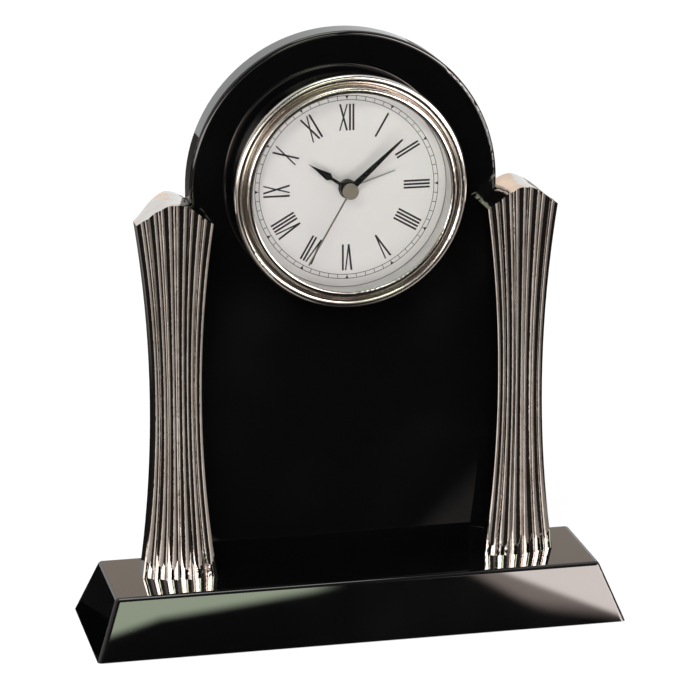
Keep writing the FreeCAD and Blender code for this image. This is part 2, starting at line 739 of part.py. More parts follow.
def rear_cover():
    """The back of the movement: a disc with a battery well, shaft holes and a switch slot."""
    at_dial = "dial_centre_height"
    disc = rod("cup_radius", "rear_cover_thickness", y=CUP_BACK, z=at_dial)
    well_front = CUP_BACK + " - 2 * battery_radius - battery_margin - tray_wall"
    well_middle = at_dial + " - battery_drop"
    outer = box(
        "2 * " + TRAY_HALF_LENGTH,
        "2 * battery_radius + battery_margin + tray_wall + rear_cover_thickness / 2",
        "2 * " + TRAY_HALF_HEIGHT, "-" + TRAY_HALF_LENGTH, well_front,
        well_middle + " - " + TRAY_HALF_HEIGHT)
    inner = box(
        "2 * (%s - tray_wall)" % TRAY_HALF_LENGTH,
        "2 * battery_radius + battery_margin + rear_cover_thickness + cut_overrun",
        "2 * (%s - tray_wall)" % TRAY_HALF_HEIGHT, "tray_wall - " + TRAY_HALF_LENGTH,
        well_front + " + tray_wall", well_middle + " + tray_wall - " + TRAY_HALF_HEIGHT)
    rails = []
    for sign in ("", "-"):
        rail_x = sign + "(%s + battery_cover_overlap" % TRAY_HALF_LENGTH
        rail_x += " + battery_cover_gap + cover_rail_width / 2)"
        rails.append(box(
            "cover_rail_width", "battery_cover_thickness + 2 * battery_cover_gap", "2 * " + TRAY_HALF_HEIGHT,
            rail_x + " - cover_rail_width / 2", COVER_BACK, well_middle + " - " + TRAY_HALF_HEIGHT))
    holes = [
        rod("shaft_radius + running_gap", "rear_cover_thickness + 2 * cut_overrun", x,
            CUP_BACK + " - cut_overrun", at_dial + " + " + z)
        for x, z in (TIME_SHAFT, ALARM_SHAFT)]
    holes += [
        rod("cover_screw_radius + running_gap", "rear_cover_thickness + 2 * cut_overrun", x,
            CUP_BACK + " - cut_overrun", at_dial + " + " + z)
        for x, z in POST_PLACES]
    holes += [
        rod("cover_screw_head + running_gap", "cover_screw_head_height + cut_overrun", x,
            COVER_BACK + " - cover_screw_head_height", at_dial + " + " + z)
        for x, z in POST_PLACES]
    slot = box(
        "switch_length + switch_travel + 2 * running_gap", "rear_cover_thickness + 2 * cut_overrun",
        "switch_height + 2 * running_gap", "-switch_side - running_gap",
        CUP_BACK + " - cut_overrun", at_dial + " + switch_rise - running_gap")
    node(cut(fuse(disc, outer, *rails), inner, slot, *holes), "rear_cover")


def cover_screws():
    pieces = []
    for x, z in POST_PLACES:
        head = rod(
            "cover_screw_head", "cover_screw_head_height", x, COVER_BACK + " - cover_screw_head_height",
            "dial_centre_height + " + z)
        shank = rod(
            "cover_screw_radius", "rear_cover_thickness + cover_screw_length - cut_overrun", x,
            CUP_BACK + " - cover_screw_length + cut_overrun", "dial_centre_height + " + z)
        pieces.append(fuse(head, shank))
    node(group(*pieces), "cover_screws")


def layer(number):
    """The front of one layer of the wheel train."""
    return "(%s + first_layer_gap + %d * layer_pitch)" % (INSIDE_FRONT, number)


def back_plate():
    """The plate that carries the back ends of the arbors, on pillars from the front plate."""
    at_dial = "dial_centre_height"
    disc = rod("back_plate_radius", "back_plate_thickness", y=BACK_PLATE_FRONT, z=at_dial)
    pillars = []
    for share_x, share_z in PILLAR_SHARES:
        pillars.append(rod(
            "pillar_radius", "back_plate_gap", "back_plate_radius * %s" % share_x, INSIDE_FRONT,
            at_dial + " + back_plate_radius * %s" % share_z))
    below = box(
        "2 * back_plate_radius", "back_plate_thickness + 2 * cut_overrun", "back_plate_radius",
        "-back_plate_radius", BACK_PLATE_FRONT + " - cut_overrun",
        at_dial + " - back_plate_radius - back_plate_drop - battery_margin")
    holes = []
    for radius, places in (
        ("wheel_arbor_radius + running_gap", (CENTRE, THIRD_ARBOR, DRIVE_ARBOR, ROTOR_ARBOR)),
        ("shaft_radius + running_gap", (TIME_SHAFT, ALARM_SHAFT)),
        ("post_radius + insert_clearance", POST_PLACES[:2]),
    ):
        for x, z in places:
            holes.append(rod(
                radius, "back_plate_thickness + 2 * cut_overrun", x, BACK_PLATE_FRONT + " - cut_overrun",
                at_dial + " + " + z))
    node(cut(fuse(disc, *pillars), below, *holes), "movement_back_plate")


def toothed(teeth, pitch_radius, front, thickness, phase_share=0):
    """A toothed disc about the Y axis; the phase turns it by a share of one tooth."""
    module = 2 * pitch_radius / teeth
    tip = pitch_radius + ADDENDUM_SHARE * module
    root = pitch_radius - DEDENDUM_SHARE * module
    step = 2 * math.pi / teeth
    points = []
    for tooth in range(teeth):
        middle = (tooth + phase_share) * step
        for radius, share in ((root, -ROOT_SHARE), (tip, -TIP_SHARE), (tip, TIP_SHARE), (root, ROOT_SHARE)):
            angle = middle + share * step / 2
            points.append(FreeCAD.Vector(radius * math.sin(angle), front, radius * math.cos(angle)))
    face = Part.Face(Part.makePolygon(points + points[:1]))
    return face.extrude(FreeCAD.Vector(0, thickness, 0))


def bar(radius, front, back):
    return Part.makeCylinder(radius, back - front, FreeCAD.Vector(0, front, 0), FreeCAD.Vector(0, 1, 0))


def train_piece(label, place, shapes, bore=None):
    """Fuses the shapes of one turning piece and sets it on its arbor."""
    solid = shapes[0].multiFuse(shapes[1:]) if len(shapes) > 1 else shapes[0]
    if bore is not None:
        solid = solid.cut(bore)
    piece = doc.addObject("Part::Feature", "TrainPiece")
    piece.Shape = solid.removeSplitter()
    bind(piece, x=place[0], z="dial_centre_height + " + place[1])
    return node(piece, label)


def share_radius(distance, own, other):
    """Pitch radius of a wheel whose mesh with another spans the distance."""
    return size(distance) * own / (own + other)


def wheel_train():
    """The going train, the motion work and the alarm work, each wheel on its arbor."""
    thick = size("wheel_thickness")
    gap = size("running_gap")
    fronts = [size(layer(number)) for number in range(7)]
    plate = size(BACK_PLATE_FRONT)
    plate_back = plate + size("back_plate_thickness")
    inside = size(INSIDE_FRONT)
    arbor = size("arbor_radius")
    cannon = size(CANNON_RADIUS)
    hour_tube = size(HOUR_TUBE_RADIUS)
    alarm_tube = size(ALARM_TUBE_RADIUS)
    pivot = size("wheel_arbor_radius")
    stand = size(DIAL_FACE)
    second_front = stand - size("second_hand_stand")
    minute_front = stand - size("minute_hand_stand")
    hour_front = stand - size("hour_hand_stand")
    alarm_front = stand - size("alarm_hand_stand")
    overrun = size("cut_overrun")

    train_piece("second_wheel", CENTRE, [
        bar(arbor, second_front, plate_back),
        toothed(SECOND_LEAVES, share_radius("going_distance", SECOND_LEAVES, THIRD_TEETH), fronts[4], thick),
        toothed(SECOND_TEETH, share_radius("drive_distance", SECOND_TEETH, DRIVE_LEAVES), fronts[5], thick),
        bar(pivot, fronts[5] + thick, plate_back),
    ])
    train_piece("third_wheel", THIRD_ARBOR, [
        bar(pivot, inside + gap, plate_back),
        toothed(
            THIRD_LEAVES, share_radius("going_distance", THIRD_LEAVES, CENTRE_TEETH), fronts[3], thick,
            HALF_TOOTH_SHARE),
        toothed(
            THIRD_TEETH, share_radius("going_distance", THIRD_TEETH, SECOND_LEAVES), fronts[4], thick,
            THIRD_WHEEL_SHARE),
    ])
    train_piece("centre_wheel", CENTRE, [
        toothed(
            CENTRE_TEETH, share_radius("going_distance", CENTRE_TEETH, THIRD_LEAVES), fronts[3], thick,
            HALF_TOOTH_SHARE),
    ], bar(cannon + gap, fronts[3] - overrun, fronts[3] + thick + overrun))
    train_piece("intermediate_wheel", DRIVE_ARBOR, [
        bar(pivot, inside + gap, plate_back),
        toothed(DRIVE_LEAVES, share_radius("drive_distance", DRIVE_LEAVES, SECOND_TEETH), fronts[5], thick),
        toothed(DRIVE_TEETH, share_radius("rotor_distance", DRIVE_TEETH, ROTOR_LEAVES), fronts[6], thick),
    ])
    magnet_back = fronts[6] - gap
    leaf_radius = share_radius("motion_distance", CANNON_LEAVES, MOTION_TEETH)
    train_piece("motor_rotor", ROTOR_ARBOR, [
        bar(pivot, inside + gap, plate_back),
        bar(size("magnet_radius"), magnet_back - size("magnet_length"), magnet_back),
        toothed(ROTOR_LEAVES, share_radius("rotor_distance", ROTOR_LEAVES, DRIVE_TEETH), fronts[6], thick),
    ])
    train_piece("cannon_pinion", CENTRE, [
        bar(cannon, minute_front, fronts[3] + thick + gap),
        toothed(CANNON_LEAVES, leaf_radius, fronts[2], thick),
    ], bar(arbor + gap, minute_front - overrun, fronts[4]))
    train_piece("motion_wheel", MOTION_ARBOR, [
        bar(pivot, inside + gap, fronts[3] - gap),
        toothed(MOTION_LEAVES, share_radius("motion_distance", MOTION_LEAVES, HOUR_TEETH), fronts[1], thick),
        toothed(
            MOTION_TEETH, share_radius("motion_distance", MOTION_TEETH, CANNON_LEAVES), fronts[2], thick,
            HALF_TOOTH_SHARE),
    ])
    train_piece("hour_wheel", CENTRE, [
        bar(hour_tube, hour_front, fronts[1] + thick),
        toothed(HOUR_TEETH, share_radius("motion_distance", HOUR_TEETH, MOTION_LEAVES), fronts[1], thick),
    ], bar(cannon + gap, hour_front - overrun, fronts[2]))
    train_piece("alarm_wheel", CENTRE, [
        bar(alarm_tube, alarm_front, fronts[0] + thick),
        toothed(
            ALARM_TEETH, share_radius("alarm_distance", ALARM_TEETH, ALARM_KNOB_LEAVES), fronts[0], thick,
            ALARM_WHEEL_SHARE),
    ], bar(hour_tube + gap, alarm_front - overrun, fronts[1]))
    knob("time_set_knob", TIME_SHAFT, inside + gap, toothed(
        TIME_KNOB_LEAVES, share_radius("motion_distance", CANNON_LEAVES, MOTION_TEETH), fronts[2], thick))
    knob("alarm_set_knob", ALARM_SHAFT, inside + gap, toothed(
        ALARM_KNOB_LEAVES, share_radius("alarm_distance", ALARM_KNOB_LEAVES, ALARM_TEETH), fronts[0], thick))


def knob(label, place, front, pinion):
    """A fluted setting knob behind the cover, on a shaft with its pinion."""
    start = size(COVER_BACK) + size("knob_gap")
    end = start + size("knob_height")
    radius = size("knob_radius")
    head = bar(radius, start, end)
    rim = [edge for edge in head.Edges if near(edge.BoundBox.YMin, end)]
    head = head.makeChamfer(size("knob_round"), rim)
    grips = []
    for index in range(GRIP_COUNT):
        angle = 2 * math.pi * index / GRIP_COUNT
        grip = bar(size("knob_groove_radius"), start - size("cut_overrun"), end + size("cut_overrun"))
        grip.translate(FreeCAD.Vector(radius * math.cos(angle), 0, radius * math.sin(angle)))
        grips.append(grip)
    head = head.cut(Part.Compound(grips))
    shaft = bar(size("shaft_radius"), front, start)
    train_piece(label, place, [head, shaft, pinion])


def hand(label, angle, stand, hub, hole, points):
    """A flat hand: a pointed blade and a round hub, turned to its shown time."""
    body = new_body(label, y=DIAL_FACE + " - " + stand, z="dial_centre_height")
    blade = outline(sketch_on(body, "XZ_Plane", "Blade"), points)
    pad(body, blade, "hand_thickness", backwards=True)
    boss = circle(sketch_on(body, "XZ_Plane", "Hub"), hub)
    pad(body, boss, "hand_thickness", backwards=True)
    bore = circle(sketch_on(body, "XZ_Plane", "Bore"), hole)
    pocket(body, bore, "hand_thickness + cut_overrun")
    body.Placement.Rotation = FreeCAD.Rotation(FreeCAD.Vector(0, 1, 0), size(angle))
    body.setExpression("Placement.Rotation.Angle", bound(angle + " * 1 deg"))
    return body


def hands():
    hand("alarm_hand", "alarm_hand_angle", "alarm_hand_stand", "alarm_hub_radius", ALARM_TUBE_RADIUS, (
        ("-alarm_hand_width / 2", "0"), ("alarm_hand_width / 2", "0"),
        ("alarm_tip_width / 2", "alarm_hand_length"), ("-alarm_tip_width / 2", "alarm_hand_length"),
    ))
    low, wide, nib = ("hour_hand_length * %s" % share for share in HOUR_SHARES)
    hand("hour_hand", "hour_hand_angle", "hour_hand_stand", "hour_hub_radius", HOUR_TUBE_RADIUS, (
        ("-hour_neck_width / 2", "0"), ("hour_neck_width / 2", "0"),
        ("hour_neck_width / 2", low), ("hour_leaf_width / 2", wide), ("hour_nib_width / 2", nib),
        ("0", "hour_hand_length"),
        ("-hour_nib_width / 2", nib), ("-hour_leaf_width / 2", wide), ("-hour_neck_width / 2", low),
    ))
    belly = "minute_hand_length * %s" % MINUTE_BELLY_SHARE
    hand("minute_hand", "minute_hand_angle", "minute_hand_stand", "minute_hub_radius", CANNON_RADIUS, (
        ("-minute_root_width / 2", "0"), ("minute_root_width / 2", "0"),
        ("minute_belly_width / 2", belly),
        ("minute_tip_width / 2", "minute_hand_length - minute_tip_width"),
        ("0", "minute_hand_length"),
        ("-minute_tip_width / 2", "minute_hand_length - minute_tip_width"),
        ("-minute_belly_width / 2", belly),
    ))
    body = hand("second_hand", "second_hand_angle", "second_hand_stand", "cap_radius", "arbor_radius", (
        ("-second_hand_width / 2", "0"), ("second_hand_width / 2", "0"),
        ("second_hand_width / 2", "second_hand_length"), ("-second_hand_width / 2", "second_hand_length"),
    ))
    cap = circle(sketch_on(body, "XZ_Plane", "Cap"), "cap_radius")
    pad(body, cap, "cap_height")


def motor():
    """The stepping motor: a stator plate round the rotor, and a coil on its core beside it."""
    at_dial = "dial_centre_height"
    rotor_x, _ = ROTOR_ARBOR
    plate_y = "(%s - running_gap - magnet_length / 2 - stator_thickness / 2)" % layer(6)
    core_x = rotor_x + " - coil_offset"
    plate = box(
        "stator_width", "stator_thickness", "stator_height", rotor_x + " - stator_width / 2", plate_y,
        at_dial + " - stator_height / 2")
    arms = []
    for sign in ("-stator_height / 2", "+stator_height / 2 - stator_arm"):
        arms.append(box(
            "coil_offset + core_width / 2", "stator_thickness", "stator_arm",
            core_x + " - core_width / 2", plate_y, at_dial + " " + sign))
    core = box(
        "core_width", "stator_thickness", "stator_height", core_x + " - core_width / 2", plate_y,
        at_dial + " - stator_height / 2")
    feet = []
    for sign in ("-stator_height / 2 + stator_arm / 2", "+stator_height / 2 - stator_arm / 2"):
        feet.append(rod(
            "stator_arm / 2", plate_y + " - " + INSIDE_FRONT, rotor_x, INSIDE_FRONT, at_dial + " " + sign))
    hole = rod(
        "magnet_radius + magnet_gap", "stator_thickness + 2 * cut_overrun", rotor_x,
        plate_y + " - cut_overrun", at_dial)
    node(cut(fuse(plate, core, *arms, *feet), hole), "motor_stator")
    winding = rod(
        "coil_radius", "coil_length", core_x, plate_y + " + stator_thickness / 2",
        at_dial + " - coil_length / 2", FreeCAD.Rotation())
    bore = box(
        "core_width + 2 * running_gap", "stator_thickness + 2 * running_gap",
        "coil_length + 2 * cut_overrun",
        core_x + " - core_width / 2 - running_gap", plate_y + " - running_gap",
        at_dial + " - coil_length / 2 - cut_overrun")
    node(cut(winding, bore), "motor_coil")


def electronics():
    at_dial = "dial_centre_height"
    board_front = BACK_PLATE_FRONT + " + back_plate_thickness"
    node(box(
        "board_length", "board_thickness", "board_height", "board_side", board_front,
        at_dial + " + board_rise"), "circuit_board")
    node(rod(
        "crystal_radius", "crystal_length", "board_side + board_length / 2 - crystal_length / 2",
        board_front + " + board_thickness + crystal_radius",
        at_dial + " + board_rise + board_height / 2", ALONG_X), "quartz_crystal")
    disc_front = CUP_BACK + " - buzzer_thickness"
    disc = rod("buzzer_radius", "buzzer_thickness", "-buzzer_side", disc_front, at_dial)
    node(disc, "alarm_buzzer")


def battery_group():
    """The cell, its two contacts and its sliding cover."""
    at_cell = "dial_centre_height - battery_drop"
    cell_y = "(%s - battery_radius)" % CUP_BACK
    can = rod(
        "battery_radius", "battery_length - battery_nib_length", "-battery_length / 2",
        cell_y, at_cell, ALONG_X)
    nib = rod(
        "battery_nib_radius", "battery_nib_length", "battery_length / 2 - battery_nib_length", cell_y,
        at_cell, ALONG_X)
    node(fuse(can, nib), "battery")
    plates = []
    for place in ("-battery_length / 2 - contact_thickness", "battery_length / 2"):
        plates.append(box(
            "contact_thickness", "contact_width", "contact_width", place, cell_y + " - contact_width / 2",
            at_cell + " - contact_width / 2"))
    node(group(*plates), "battery_contacts")
    half_length = "(%s + battery_cover_overlap)" % TRAY_HALF_LENGTH
    start = COVER_BACK + " + battery_cover_gap"
    lid = box(
        "2 * " + half_length, "battery_cover_thickness", "2 * " + TRAY_HALF_HEIGHT, "-" + half_length, start,
        at_cell + " - " + TRAY_HALF_HEIGHT)
    ridges = []
    for index in range(GRIP_RIDGES):
        ridges.append(box(
            "battery_length / 3", "2 * grip_ridge", "grip_ridge", "-battery_length / 6",
            start + " + battery_cover_thickness - grip_ridge",
            at_cell + " - battery_radius / 2 + %d * 3 * grip_ridge" % index))
    node(fuse(lid, *ridges), "battery_cover")


def alarm_switch():
    at_dial = "dial_centre_height"
    lever = box(
        "switch_length", "rear_cover_thickness + 2 * switch_stand", "switch_height", "-switch_side",
        CUP_BACK + " - switch_stand", at_dial + " + switch_rise")
    node(lever, "alarm_switch")


base_block()
felt_pad()
case_panel()
column("left_column", -1)
column("right_column", 1)
screws("panel_screws", PANEL_SCREWS)
screws("column_screws", COLUMN_SCREWS)
bezel()
insert_front()
movement_housing()
fit_ring()
rear_cover()
cover_screws()
back_plate()
wheel_train()
hands()
motor()
electronics()
battery_group()
alarm_switch()

doc.recompute()
for item in doc.Objects:
    if "Invalid" in item.State or "Error" in item.State:
        raise RuntimeError("%s (%s) did not build: %s" % (item.Label, item.Name, item.State))
for piece in NODES:
    if piece.Shape.isNull() or not piece.Shape.isValid():
        raise RuntimeError("%s has no valid shape" % piece.Label)
os.makedirs("parts", exist_ok=True)
for piece in NODES:
    piece.Shape.exportStep("parts/%s.step" % piece.Label)
print("%d pieces written" % len(NODES))
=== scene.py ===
import json
import math

import bmesh
import bpy
from mathutils import Euler, Matrix, Vector


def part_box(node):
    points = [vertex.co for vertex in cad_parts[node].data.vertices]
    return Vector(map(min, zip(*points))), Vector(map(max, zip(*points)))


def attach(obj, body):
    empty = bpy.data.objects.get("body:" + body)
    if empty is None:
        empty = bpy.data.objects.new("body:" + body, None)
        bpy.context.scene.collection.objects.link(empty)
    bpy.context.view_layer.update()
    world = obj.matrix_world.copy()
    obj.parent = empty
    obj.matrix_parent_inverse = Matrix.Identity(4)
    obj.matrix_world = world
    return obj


# Looks of an arched mantel clock: black lacquer, polished nickel columns and bezel,
# a printed Roman dial and a plastic movement behind. Metres throughout.

MM = 0.001
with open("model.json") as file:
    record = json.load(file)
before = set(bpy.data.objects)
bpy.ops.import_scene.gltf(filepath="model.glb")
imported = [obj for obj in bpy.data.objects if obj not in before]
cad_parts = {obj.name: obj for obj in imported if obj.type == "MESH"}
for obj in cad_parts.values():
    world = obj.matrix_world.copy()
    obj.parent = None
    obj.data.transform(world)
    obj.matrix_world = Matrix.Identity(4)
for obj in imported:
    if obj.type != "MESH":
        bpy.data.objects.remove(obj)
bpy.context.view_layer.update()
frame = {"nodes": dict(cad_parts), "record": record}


# Shader and geometry trees

class Value:
    """A socket of a tree that can stand in an expression."""

    def __init__(self, graph, socket):
        self.graph = graph
        self.socket = socket

    def maths(self, operation, *others):
        inputs = dict(enumerate((self,) + others))
        return self.graph.node("ShaderNodeMath", {"operation": operation}, inputs)

    def __add__(self, other):
        return self.maths("ADD", other)

    def __radd__(self, other):
        return self.maths("ADD", other)

    def __sub__(self, other):
        return self.maths("SUBTRACT", other)

    def __rsub__(self, other):
        return (self * -1.0) + other

    def __mul__(self, other):
        return self.maths("MULTIPLY", other)

    def __rmul__(self, other):
        return self.maths("MULTIPLY", other)

    def __truediv__(self, other):
        return self.maths("DIVIDE", other)

    def __pow__(self, other):
        return self.maths("POWER", other)

    def __gt__(self, other):
        return self.maths("GREATER_THAN", other)

    def clamped(self, low, high):
        """0 at low and under, 1 at high and over, smooth between."""
        settings = {"interpolation_type": "SMOOTHSTEP"}
        inputs = {"Value": self, "From Min": low, "From Max": high}
        return self.graph.node("ShaderNodeMapRange", settings, inputs)


class Graph:
    """A node tree with one method that makes nodes."""

    def __init__(self, tree):
        self.tree = tree

    def node(self, kind, settings=None, inputs=None, output=0):
        made = self.tree.nodes.new(kind)
        for name, value in (settings or {}).items():
            if name == "stops":
                self.fill_ramp(made.color_ramp, value)
            else:
                setattr(made, name, value)
        for name, value in (inputs or {}).items():
            if isinstance(value, Value):
                self.tree.links.new(value.socket, made.inputs[name])
            else:
                made.inputs[name].default_value = value
        return Value(self, made.outputs[output])

    def fill_ramp(self, ramp, stops):
        while len(ramp.elements) < len(stops):
            ramp.elements.new(1.0)
        for element, (place, colour) in zip(ramp.elements, stops):
            element.position = place
            element.color = tuple(colour) + (1.0,)

    def object_point(self):
        made = self.tree.nodes.new("ShaderNodeTexCoord")
        return Value(self, made.outputs["Object"])

    def parts(self, vector):
        """The three numbers of a vector."""
        made = self.tree.nodes.new("ShaderNodeSeparateXYZ")
        self.tree.links.new(vector.socket, made.inputs[0])
        return [Value(self, made.outputs[index]) for index in range(3)]

    def noise(self, point, scale, detail=3.0, roughness=0.5):
        inputs = {"Vector": point, "Scale": scale, "Detail": detail, "Roughness": roughness}
        return self.node("ShaderNodeTexNoise", {}, inputs)

    def stretched(self, point, scale):
        return self.node("ShaderNodeMapping", {}, {"Vector": point, "Scale": scale})

    def mix(self, factor, first, second):
        inputs = {0: factor, 6: first, 7: second}
        return self.node("ShaderNodeMix", {"data_type": "RGBA"}, inputs, 2)

    def bump(self, height, distance, strength=1.0):
        inputs = {"Height": height, "Distance": distance, "Strength": strength}
        return self.node("ShaderNodeBump", {}, inputs)


class Finish(Graph):
    """A material and the tree of its surface."""

    def __init__(self, name):
        self.material = bpy.data.materials.new(name)
        self.material.use_nodes = True
        self.material.node_tree.nodes.clear()
        super().__init__(self.material.node_tree)

    def surface(self, **inputs):
        """The principled surface, its sockets named with _ for a space."""
        named = {name.replace("_", " "): value for name, value in inputs.items()}
        shader = self.node("ShaderNodeBsdfPrincipled", {}, named)
        return self.shown(shader)

    def shown(self, shader):
        output = self.tree.nodes.new("ShaderNodeOutputMaterial")
        self.tree.links.new(shader.socket, output.inputs["Surface"])
        return self.material


def rgb(red, green, blue):
    return (red, green, blue, 1.0)


# Finishes

LACQUER_BLACK = rgb(0.0009, 0.0009, 0.0010)
LACQUER_HAZE = rgb(0.0022, 0.0021, 0.0020)
LACQUER_INDEX = 1.5
LACQUER_WAVE = 0.00003
DUST_SCALE = 900.0
NICKEL = rgb(0.655, 0.61, 0.575)
NICKEL_SHADE = rgb(0.49, 0.44, 0.40)
STEEL = rgb(0.62, 0.61, 0.6)
STEEL_SHADE = rgb(0.45, 0.44, 0.43)
BRASS = rgb(0.80, 0.58, 0.27)
BRASS_SHADE = rgb(0.62, 0.42, 0.17)
WAVE_SCALE = (110.0, 110.0, 9.0)
WAVE_HEIGHT = 0.0004
BEZEL_SILVER = rgb(0.66, 0.625, 0.59)
BEZEL_SHADE = rgb(0.50, 0.455, 0.415)
# painted shade: the near-black tone painted on the bezel's back side, so that its mirror image in the
# lacquer panel stays dark
SIDE_PAINTED_SHADE = rgb(0.055, 0.050, 0.045)
BEZEL_SIDE = -0.0016
SIDE_BLEND = 0.0006
CAP_RADIUS = 0.0022
CAP_BRASS = rgb(0.60, 0.545, 0.455)
HAND_SILVER = rgb(0.40, 0.375, 0.33)
HAND_SHADE = rgb(0.30, 0.28, 0.245)
TURNED_GROOVE = 0.000004
PLASTIC_BLACK = rgb(0.014, 0.014, 0.015)
PLASTIC_WORN = rgb(0.024, 0.024, 0.025)
PLASTIC_WHITE = rgb(0.72, 0.71, 0.67)
PLASTIC_YELLOWED = rgb(0.64, 0.63, 0.58)
RUBBER_BLACK = rgb(0.02, 0.02, 0.02)
RUBBER_DUST = rgb(0.035, 0.034, 0.033)
SPARK_GRAIN = 0.00004
FELT_DARK = rgb(0.006, 0.006, 0.007)
FELT_LIGHT = rgb(0.035, 0.034, 0.036)
FELT_PILE = 0.0006
GLASS_TINT = rgb(0.985, 0.99, 0.985)
GLASS_INDEX = 1.42
GLASS_POLISH = 0.01
DIAL_CREAM = rgb(0.90, 0.855, 0.85)
DIAL_WARM = rgb(0.92, 0.88, 0.855)
WARM_SLANT = 0.4
WARM_ENDS = (-0.030, 0.034)
INK = rgb(0.012, 0.011, 0.012)
PAPER_GRAIN = 0.00001
WALL_WHITE = rgb(0.82, 0.81, 0.79)
WALL_SHADE = rgb(0.76, 0.75, 0.73)
HAND_BLACK = rgb(0.006, 0.006, 0.007)
HAND_WORN = rgb(0.012, 0.012, 0.013)
PAINT_PEEL = 0.00002
BOARD_GREEN = rgb(0.015, 0.075, 0.03)
TRACK_GREEN = rgb(0.03, 0.15, 0.055)
TRACK_PITCHES = (2600.0, 900.0)
TRACK_THICKNESS = 0.00003
# painted shade: the dark tone painted into the grooves between the coil's turns
COPPER_GROOVE_SHADE = rgb(0.28, 0.07, 0.03)
COPPER_LIGHT = rgb(0.72, 0.28, 0.14)
WIRE_PITCH = 42000.0
WIRE_HEIGHT = 0.00004
BARREL_BLACK = rgb(0.02, 0.02, 0.022)
BARREL_SCUFF = rgb(0.05, 0.05, 0.052)
SHOULDER_BRONZE = rgb(0.42, 0.22, 0.08)
SHOULDER_START = 0.72
CAP_STEEL = rgb(0.7, 0.7, 0.68)
CAP_LENGTH = 1.6 * MM
SCUFF_DEPTH = 0.00002


def black_lacquer(name, crown_x, crown_z, centre_z):
    """Deep polished lacquer. Polishing crowned its faces a little, which bends what they mirror."""
    finish = Finish(name)
    point = finish.object_point()
    x, _, z = finish.parts(point)
    haze = finish.noise(point, scale=22.0, detail=4.0)
    specks = finish.noise(point, DUST_SCALE, detail=2.0).clamped(0.70, 0.78)
    crown = x * x * crown_x + (z - centre_z) * (z - centre_z) * crown_z
    wave = finish.noise(point, scale=14.0, detail=1.0) * LACQUER_WAVE
    colour = finish.mix(haze.clamped(0.45, 0.8), LACQUER_BLACK, LACQUER_HAZE)
    return finish.surface(
        Base_Color=colour,
        Roughness=haze * 0.03 + specks * 0.05 + 0.015,
        Normal=finish.bump(wave - crown, 1.0),
        IOR=LACQUER_INDEX,
    )


def polished_metal(name, light, shade, rough, grain_scale, grain_height):
    """Plated metal with faint lines from the polishing wheel and a slightly duller film in places."""
    finish = Finish(name)
    point = finish.object_point()
    film = finish.noise(point, scale=60.0, detail=4.0, roughness=0.6)
    lines = finish.noise(finish.stretched(point, grain_scale), scale=1.0, detail=3.0, roughness=0.6)
    waves = finish.noise(finish.stretched(point, WAVE_SCALE), scale=1.0, detail=1.0)
    colour = finish.mix(film.clamped(0.35, 0.75), light, shade)
    return finish.surface(
        Base_Color=colour,
        Metallic=1.0,
        Roughness=film * 0.03 + lines * 0.03 + rough,
        Normal=finish.bump(lines * grain_height + waves * WAVE_HEIGHT, 1.0),
    )


def spun_metal(name, light, shade, rough, axis_z, side=None, middle=None):
    """Metal turned on a lathe about the dial's axis. Its back side can be darkened with painted shade, and
    its middle can have another colour.
    """
    finish = Finish(name)
    point = finish.object_point()
    x, y, z = finish.parts(point)
    radius = (x * x + (z - axis_z) * (z - axis_z)) ** 0.5
    spread = finish.node("ShaderNodeCombineXYZ", {}, {0: radius, 1: y})
    rings = finish.noise(spread, scale=4200.0, detail=2.0)
    film = finish.noise(point, scale=45.0, detail=4.0)
    colour = finish.mix(film.clamped(0.3, 0.8), light, shade)
    if side is not None:
        # painted shade: from the given depth back towards the panel the metal is painted near black
        colour = finish.mix(y.clamped(side, side + SIDE_BLEND), colour, SIDE_PAINTED_SHADE)
    if middle is not None:
        colour = finish.mix(radius.clamped(CAP_RADIUS, CAP_RADIUS + SIDE_BLEND), middle, colour)
    return finish.surface(
        Base_Color=colour,
        Metallic=1.0,
        Roughness=film * 0.05 + rings * 0.03 + rough,
        Normal=finish.bump(rings, TURNED_GROOVE),
    )


def moulded_plastic(name, colour, worn, rough, grain=2600.0):
    """Moulded plastic with a fine spark grain."""
    finish = Finish(name)
    point = finish.object_point()
    fine = finish.noise(point, grain, detail=2.0)
    broad = finish.noise(point, scale=40.0, detail=4.0)
    return finish.surface(
        Base_Color=finish.mix(broad.clamped(0.35, 0.75), colour, worn),
        Roughness=fine * 0.18 + broad * 0.1 + rough,
        Normal=finish.bump(fine, SPARK_GRAIN, strength=0.6),
    )


def felt_cloth():
    """Pressed wool felt: short fibres in all directions."""
    finish = Finish("felt")
    point = finish.object_point()
    fibres = finish.noise(point, scale=1800.0, detail=6.0, roughness=0.75)
    clumps = finish.noise(point, scale=220.0, detail=3.0)
    return finish.surface(
        Base_Color=finish.mix(fibres, FELT_DARK, FELT_LIGHT),
        Roughness=0.95,
        Normal=finish.bump(fibres * 0.7 + clumps * 0.3, FELT_PILE),
        Sheen_Weight=0.3,
    )


def clear_glass():
    """Flat mineral glass, clear near its axis. Its rear face mirrors everything from 45 degrees on."""
    finish = Finish("lens_glass")
    mirrored = finish.node("ShaderNodeFresnel", {}, {"IOR": GLASS_INDEX})
    clear = finish.node("ShaderNodeBsdfTransparent", {}, {"Color": GLASS_TINT})
    mirror = finish.node("ShaderNodeBsdfGlossy", {}, {"Roughness": GLASS_POLISH})
    mixed = finish.node("ShaderNodeMixShader", {}, {0: mirrored, 1: clear, 2: mirror})
    return finish.shown(mixed)


def dial_paper(axis_z):
    """A printed satin dial: cream white, a touch warmer to one side, with a fine paper grain."""
    finish = Finish("dial_print")
    point = finish.object_point()
    x, _, z = finish.parts(point)
    side = (x + (z - axis_z) * WARM_SLANT).clamped(*WARM_ENDS)
    grain = finish.noise(point, scale=3200.0, detail=3.0)
    return finish.surface(
        Base_Color=finish.mix(side, DIAL_CREAM, DIAL_WARM),
        Roughness=grain * 0.1 + 0.42,
        Normal=finish.bump(grain, PAPER_GRAIN),
    )


